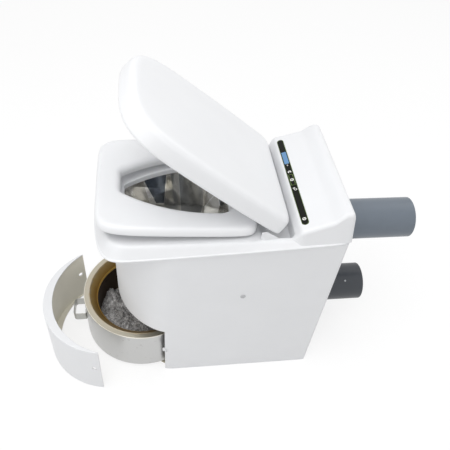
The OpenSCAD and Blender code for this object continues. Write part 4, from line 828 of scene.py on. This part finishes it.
finish(moulded("Rubber, moulded grey pads", "#C9CACC", 0.6, 0.6, 0.02), "seat_pads", "lid_pads")


# Lid: a deep hollow shell in the same polypropylene, thicker than the seat, with a broad soft edge all round
# and notches behind for the hinge posts.
lid_open = 39.4
notch_in, notch_out, notch_front, notch_back = 54 - 3.3, 89 - 2.5 + 3.3, -14.3, 85


def lid_plan(turn, inset):
    """Plan of the lid about the hinge line, drawn in by an inset."""
    return squared_oval(turn, inset, 168, -408, -60, 49, bow=3, square=(10, 14), taper=(0.11, 0.01))


def lid_solid(rows):
    """A closed mesh from rows drawn about the hinge line with the lid closed, turned up to where it
    stands."""
    return mesh_of(skin(turned(np.asarray(rows, float) + (0, hinge_y, hinge_z), lid_open)))


turns = even_turns(lid_plan, 240)
rows = [(8, 0), (4, 0), (1.4, 1.6), (0.2, 4.5), (0, 8), (2.8, 32), (5.6, 39.5), (10.5, 44.3), (18, 46.5),
        (34, 46.5)]
outer = lid_solid(soften([at_height(lid_plan(turns, inset), z) for inset, z in rows]))
rows = [(7.5, -1), (4.5, 2.5), (3.5, 6), (6.5, 32.5), (9.5, 37.75), (14.5, 40.5), (22.5, 43)]
inner = lid_solid([at_height(lid_plan(turns, inset), z) for inset, z in rows])
notches = [lid_solid(layers(oblong(notch_out, notch_in, notch_back, notch_front) * (side, 1), -24, 14.8))
           for side in (-1, 1)]
piece("lid", cut(outer, inner, *notches), white_seat, "lid", "lid_shell")
finish(white_seat, "lid_liner")


# Ash container: a brushed stainless drum with a pressed rim, an ash pan packed in ceramic fibre, a strap
# handle riveted to its front, and the ash of the last burn heaped against one side.
def smudged(name, colour, mark, roughness, grain, stretch, spot):
    """Used sheet steel: brushing lines as fine as the grain, drawn out by the stretch, with small dark
    smudges of the spot's size here and there; sizes in mm."""
    made, tree, place = patterned(name)
    drawn = add(tree, "Mapping", {"Scale": stretch}, Vector=place)
    lines = noise(tree, drawn, grain, 3.0)
    spots = noise(tree, place, spot, 4.0, 0.7)
    share = progress(tree, spots, 0.6, 0.8)
    tint = add(tree, "MixRGB", {1: linear(colour), 2: linear(mark)}, Fac=share)
    gloss = spread(tree, share, roughness, roughness + 0.25)
    bump = relief(tree, lines, 0.3, 0.04)
    return surfaced(made, {"Metallic": 0.85}, Base_Color=tint, Roughness=gloss, Normal=bump)


upright = (0, 0, 1)
drum_at, drum_r, drum_sheet = np.array([0, -198.0, 10.0]), 171, 1.5
foot_r = 3
drum = [*arc(drum_r - foot_r, foot_r, foot_r, -90, 0, 6), (drum_r, 134.6), (drum_r - 0.4, 135.5),
        (drum_r - 1.1, 135.5), (drum_r - drum_sheet, 134.6),
        *arc(drum_r - foot_r, foot_r, foot_r - drum_sheet, 0, -90, 4)]
used_drum = smudged("Stainless steel, brushed and used drum", "#C6C6C5", "#8E8B86", 0.3, 0.5,
                    (1, 1, 0.05), 28)
piece("drum", mesh_of(lathe(drum, drum_at, upright, 200)), used_drum, "ash_container", "ash_drum")


def heat_tinted(name, colours, radii, lips, streak):
    """Steel rim tinted by heat: its colour changes with the distance from the drum's axis, from the funnel's
    bronze over gold to a dull beige outside, clouded by the streak's size, with painted highlights in
    bright rings on the lips inside and outside; the radii and the lips' two edges are in mm."""
    made, tree, place = patterned(name)
    flat = add(tree, "VectorMath", {"operation": "MULTIPLY", 1: (1, 1, 0)}, _0=place)
    middle_line = (drum_at[0] / 1000, drum_at[1] / 1000, 0)
    away = add(tree, "VectorMath", {"operation": "DISTANCE", 1: middle_line}, _0=flat).outputs["Value"]
    cloud = noise(tree, place, streak, 4.0, 0.65)
    wavy = add(tree, "Math", {"operation": "MULTIPLY_ADD", 1: 0.012, 2: -0.006}, _0=cloud)
    at = add(tree, "Math", {"operation": "ADD"}, _0=away, _1=wavy)
    bronze, gold, beige = (linear(colour) for colour in colours)
    inner, middle, outer = (r / 1000 for r in radii)
    first = progress(tree, at, inner, middle)
    last = progress(tree, at, middle, outer)
    tint = add(tree, "MixRGB", {1: bronze, 2: gold}, Fac=first)
    tint = add(tree, "MixRGB", {2: beige}, Fac=last, _1=tint)
    for (start, end), bright in lips:
        share = progress(tree, away, start / 1000, end / 1000)
        tint = add(tree, "MixRGB", {2: linear(bright)}, Fac=share, _1=tint)
    return surfaced(made, {"Metallic": 0.65, "Roughness": 0.33}, Base_Color=tint)


rim = [(170.9, 135.5), (171, 136.6), (170.3, 137.6), (169.3, 137.5), (168.6, 136.9), (156.5, 136.9),
       (155.4, 137.3), (154.2, 136.9), (134.2, 115.3), (133.9, 114.2), (133.55, 113.9), (133.55, 112.2),
       (133.9, 112), (156, 134.9), (157, 135.5)]
heat_colours, heat_radii = ("#A27C3C", "#B5975F", "#BDB6A5"), (138, 150, 158)
# Painted highlights: a thin bright ring on the funnel's inner lip and one on the rim's outer lip.
painted_highlight_lips = [((136.4, 135.6), "#E0B45E"), ((168.6, 169.2), "#F4F0E4")]
heated = heat_tinted("Steel, pressed and heat-tinted rim", heat_colours, heat_radii, painted_highlight_lips, 18)
piece("rim", mesh_of(lathe(rim, drum_at, upright, 200, ends=False)), heated, "ash_container", "drum_rim")
pan = [*arc(123.5, 18, 10, -90, 0, 8), (133.5, 110.9), (133.1, 111.7), (132.4, 111.7), (132, 110.9),
       *arc(123, 18.5, 9, 0, -90, 8)]
burnt = smudged("Steel, burnt dark pan", "#4A3B2A", "#1C1510", 0.5, 0.8, (1, 1, 1), 20)
piece("pan", mesh_of(lathe(pan, drum_at, upright, 160)), burnt, "ash_container", "ash_pan")
finish(fibre, "drum_insulation")

dice = np.random.default_rng(7)


def waves(at, size, count=18):
    """Rough noise of about one: a sum of sines with random directions and phases and a wavelength near the
    size, over the root of half their count."""
    turn, phase = dice.uniform(0, 2 * np.pi, (2, count))
    pace = 2 * np.pi / (size * dice.uniform(0.7, 1.5, count))
    swell = (at[..., :1] * np.cos(turn) + at[..., 1:2] * np.sin(turn)) * pace + phase
    return np.sin(swell).sum(-1) / np.sqrt(count / 2)


def ashes(name, colours, speck):
    """Ash, quite matt: two greys and pale flecks mixed by two noises, the finer as small as the speck, in
    mm."""
    made, tree, place = patterned(name)
    clod = 6 * speck
    coarse = noise(tree, place, clod, 6.0, 0.7)
    fine = noise(tree, place, speck, 2.0)
    dark, middle, pale = (linear(colour) for colour in colours)
    ground = progress(tree, coarse, 0.35, 0.65)
    fleck = progress(tree, fine, 0.58, 0.7)
    tint = add(tree, "MixRGB", {1: dark, 2: middle}, Fac=ground)
    tint = add(tree, "MixRGB", {2: pale}, Fac=fleck, _1=tint)
    bump = relief(tree, fine, 0.9, 1)
    return surfaced(made, {"Roughness": 0.95}, Base_Color=tint, Normal=bump)


# The heap fills the pan and climbs to the near side. Its first ring closes it underneath, on the pan's floor.
pan_floor, pan_low_r, pan_r, ash_deep, ash_lean, ash_top = 19.6, 122.5, 131.8, 40, 0.3, 96
a = np.linspace(0, 2 * np.pi, 360, endpoint=False)
reach = np.r_[pan_low_r, np.linspace(pan_r, 0.5, 120)][:, None]
heap = np.stack([reach * np.cos(a), reach * np.sin(a)], -1)
rough = sum(depth * waves(heap, size) for depth, size in ((5, 70), (2.2, 18), (1.1, 6), (0.5, 3)))
height = np.clip(ash_deep + ash_lean * heap[..., 0] + rough, 1, ash_top)
height[0] = 0.1
surface = np.concatenate([heap, (pan_floor + height)[..., None]], -1)
ash = [skin(surface + (*drum_at[:2], 0))]
tall, wide = np.radians(np.linspace(-75, 75, 6))[:, None], np.linspace(0, 2 * np.pi, 9, endpoint=False)
ball = np.stack([np.cos(tall) * np.cos(wide), np.cos(tall) * np.sin(wide), np.sin(tall) * np.ones(9)], -1)
crust = surface[2:].reshape(-1, 3)
for size in dice.uniform(1.6, 3.8, 260):
    turn, out_at = dice.uniform(0, 2 * np.pi), 124 * np.sqrt(dice.uniform(0, 1))
    away = np.hypot(crust[:, 0] - out_at * np.cos(turn), crust[:, 1] - out_at * np.sin(turn))
    lump = ball * size * dice.uniform(0.6, 1.3, 3) * dice.uniform(0.82, 1.18, (6, 9, 1))
    ash.append(skin(lump + crust[np.argmin(away)] + (*drum_at[:2], 0.3 * size)))
ash_skin = ashes("Ash, dry and clodded", ("#7C7977", "#CDCBCA", "#FAFAF8"), 3.4)
piece("ash", mesh_of(*ash), ash_skin, "ash_container", crease=60)

# The handle's strap starts on the drum, bends out into a leg, turns a corner and runs across its front.
leg, tip, corner, on_drum_r, leg_rear = 27.75, 205.75, 9.0, 172.55, 177.0
strap_t, strap_h, strap_z, rivet_x = 2.5, 28.0, 54.0, 23
foot = np.radians(np.linspace(4.4, 8.2, 8))
foot = np.stack([on_drum_r * np.sin(foot), -on_drum_r * np.cos(foot)], 1)
bend = np.linspace(0, 1, 7)[1:-1, None]
knee, end = np.array([leg, -on_drum_r * 0.987]), np.array([leg, -leg_rear])
half = np.vstack([foot, (1 - bend) ** 2 * foot[-1] + 2 * bend * (1 - bend) * knee + bend ** 2 * end,
                  [(leg, y) for y in np.linspace(-leg_rear, corner - tip, 12)],
                  arc(leg - corner, corner - tip, corner, 0, -90, 10)[1:],
                  [(x, -tip) for x in np.linspace(leg - corner, 0, 10)[1:]]])
path = np.vstack([half, half[-2::-1] * (-1, 1)])
across = sideways(np.gradient(path, axis=0))
section = rounded(strap_t / 2, -strap_h / 2, strap_h / 2, 0.8, 3)
plan = path[:, None] + across[:, None] * section[:, :1]
strap = np.concatenate([plan, np.broadcast_to(section[:, 1:], (len(path), len(section), 1))], -1)
rivet = [(4, 173.6), (3.7, 174.5), (2.7, 175.1), (1.2, 175.4)]
strap_at = drum_at + (0, 0, strap_z)
rivet_turns = np.arcsin(np.array([-1, 1]) * rivet_x / on_drum_r)
rivets = [lathe(rivet, strap_at, (np.sin(turn), -np.cos(turn), 0), 32) for turn in rivet_turns]
bent_strap = smudged("Stainless steel, bent strap", "#BDBDB9", "#8F8B85", 0.34, 0.5, (1, 1, 0.05), 16)
piece("handle", mesh_of(skin(strap + strap_at), *rivets), bent_strap, "ash_container", "drum_handle")


# Front cover: a curved white moulding taken off and stood on the floor, with a flange along its top and foot
# and a hole at either end for the studs in the shell. Its hollow inside is given a beige colour.
cover_at, cover_turn, half_span = np.array([46.6, -287.7]), np.radians(9.9), 71.07
outer_r, inner_r, cover_h, lip_t, edge_r, inner_edge = 185.0, 181.5, 181.0, 3.0, 2.5, 0.6
flange_back, flange_r = 37.06, 197.06


def reach_to(turn, back, r):
    """Distance, along rays turned from straight ahead, to a circle whose centre lies behind the rays' start:
    sqrt((b cos t)^2 + r^2 - b^2) - b cos t."""
    return -back * np.cos(turn) + np.sqrt((back * np.cos(turn)) ** 2 + r ** 2 - back ** 2)


turn = np.radians(np.linspace(-half_span, half_span, 121))[:, None]
flange = np.minimum(inner_r - 0.02, reach_to(turn, flange_back, flange_r))
outer = np.vstack([arc(outer_r - edge_r, edge_r, edge_r, -90, 0, 5),
                   arc(outer_r - edge_r, cover_h - edge_r, edge_r, 0, 90, 5)])
bare, around = inner_r + 0 * turn, np.broadcast_to(outer[:, 0], (len(turn), len(outer)))
r = np.hstack([around, flange + inner_edge, flange, flange, bare, bare, flange, flange, flange + inner_edge])
z = np.r_[outer[:, 1], cover_h, cover_h - inner_edge, cover_h - lip_t, cover_h - lip_t, lip_t, lip_t,
          inner_edge, 0]
swung = turn + cover_turn
shape = np.stack([cover_at[0] + r * np.sin(swung), cover_at[1] - r * np.cos(swung), z + 0 * r], -1)
hole_turn, hole_z, hole_r = np.radians(65.87), 100.0, 6.5
holes = []
for side in (-1, 1):
    to_hole = np.array([np.sin(side * hole_turn + cover_turn), -np.cos(side * hole_turn + cover_turn), 0])
    holes.append(rod((*cover_at, hole_z) + 170 * to_hole, to_hole, hole_r, 25, 40))
# The faces inside the hollow get a beige colour.
beige_inside = moulded("ABS, beige inside", "#F6F2E4", 0.5, 1.2, 0.02, 0.05)
front = cut(mesh_of(skin(shape)), *holes)
faces = piece("front", front, [white_abs, beige_inside], "front_cover", "front_cover").data.polygons
middle = np.zeros(3 * len(faces))
faces.foreach_get("center", middle)
middle = middle.reshape(-1, 3) * 1000
inside = np.hypot(*(middle[:, :2] - cover_at).T) < inner_r + 0.1
between = np.abs(middle[:, 2] - cover_h / 2) < cover_h / 2 - lip_t
faces.foreach_set("material_index", (inside & between).astype(int))


# Snap studs and side screws: white ABS studs that stand on small feet beside the front opening, and a screw
# with a grey nylon cap in either side of the shell.
stud_y, foot_in, foot_out, foot_h, cap_y, cap_z = opening_y - 1.5, 178.4, 183.4, 8, 54, 336
stud = [(4.6, 178), (5.2, 178.6), (5.2, 183.5), (4.9, 184.2), (4.2, 184.5)]
cap = [(3.0, -10), (3.0, 0.2), (6.0, 0.2), (6.5, 0.6), (6.5, 1.4), (6.2, 1.85), (5.6, 2.0), (3.8, 2.0),
       (3.6, 1.8), (3.6, 1.0)]
studs, caps = [], []
for side in (-1, 1):
    studs.append(lathe(stud, (0, stud_y, stud_z), (side, 0, 0), 48))
    plan = oblong(foot_in, foot_out, notch_rear - 0.3, stud_y) * (side, 1)
    studs.append(skin(layers(plan, stud_z - foot_h / 2, stud_z + foot_h / 2)))
    caps.append(lathe(cap, (side * 188.69, cap_y, cap_z), (side, 0, -0.008), 48))
piece("studs", mesh_of(*studs), white_abs, "toilet", "snap_studs")
grey_cap = moulded("Nylon, moulded grey screw cap", "#C3C4C6", 0.45, 0.7, 0.02)
piece("caps", mesh_of(*caps), grey_cap, "toilet", "side_screws")
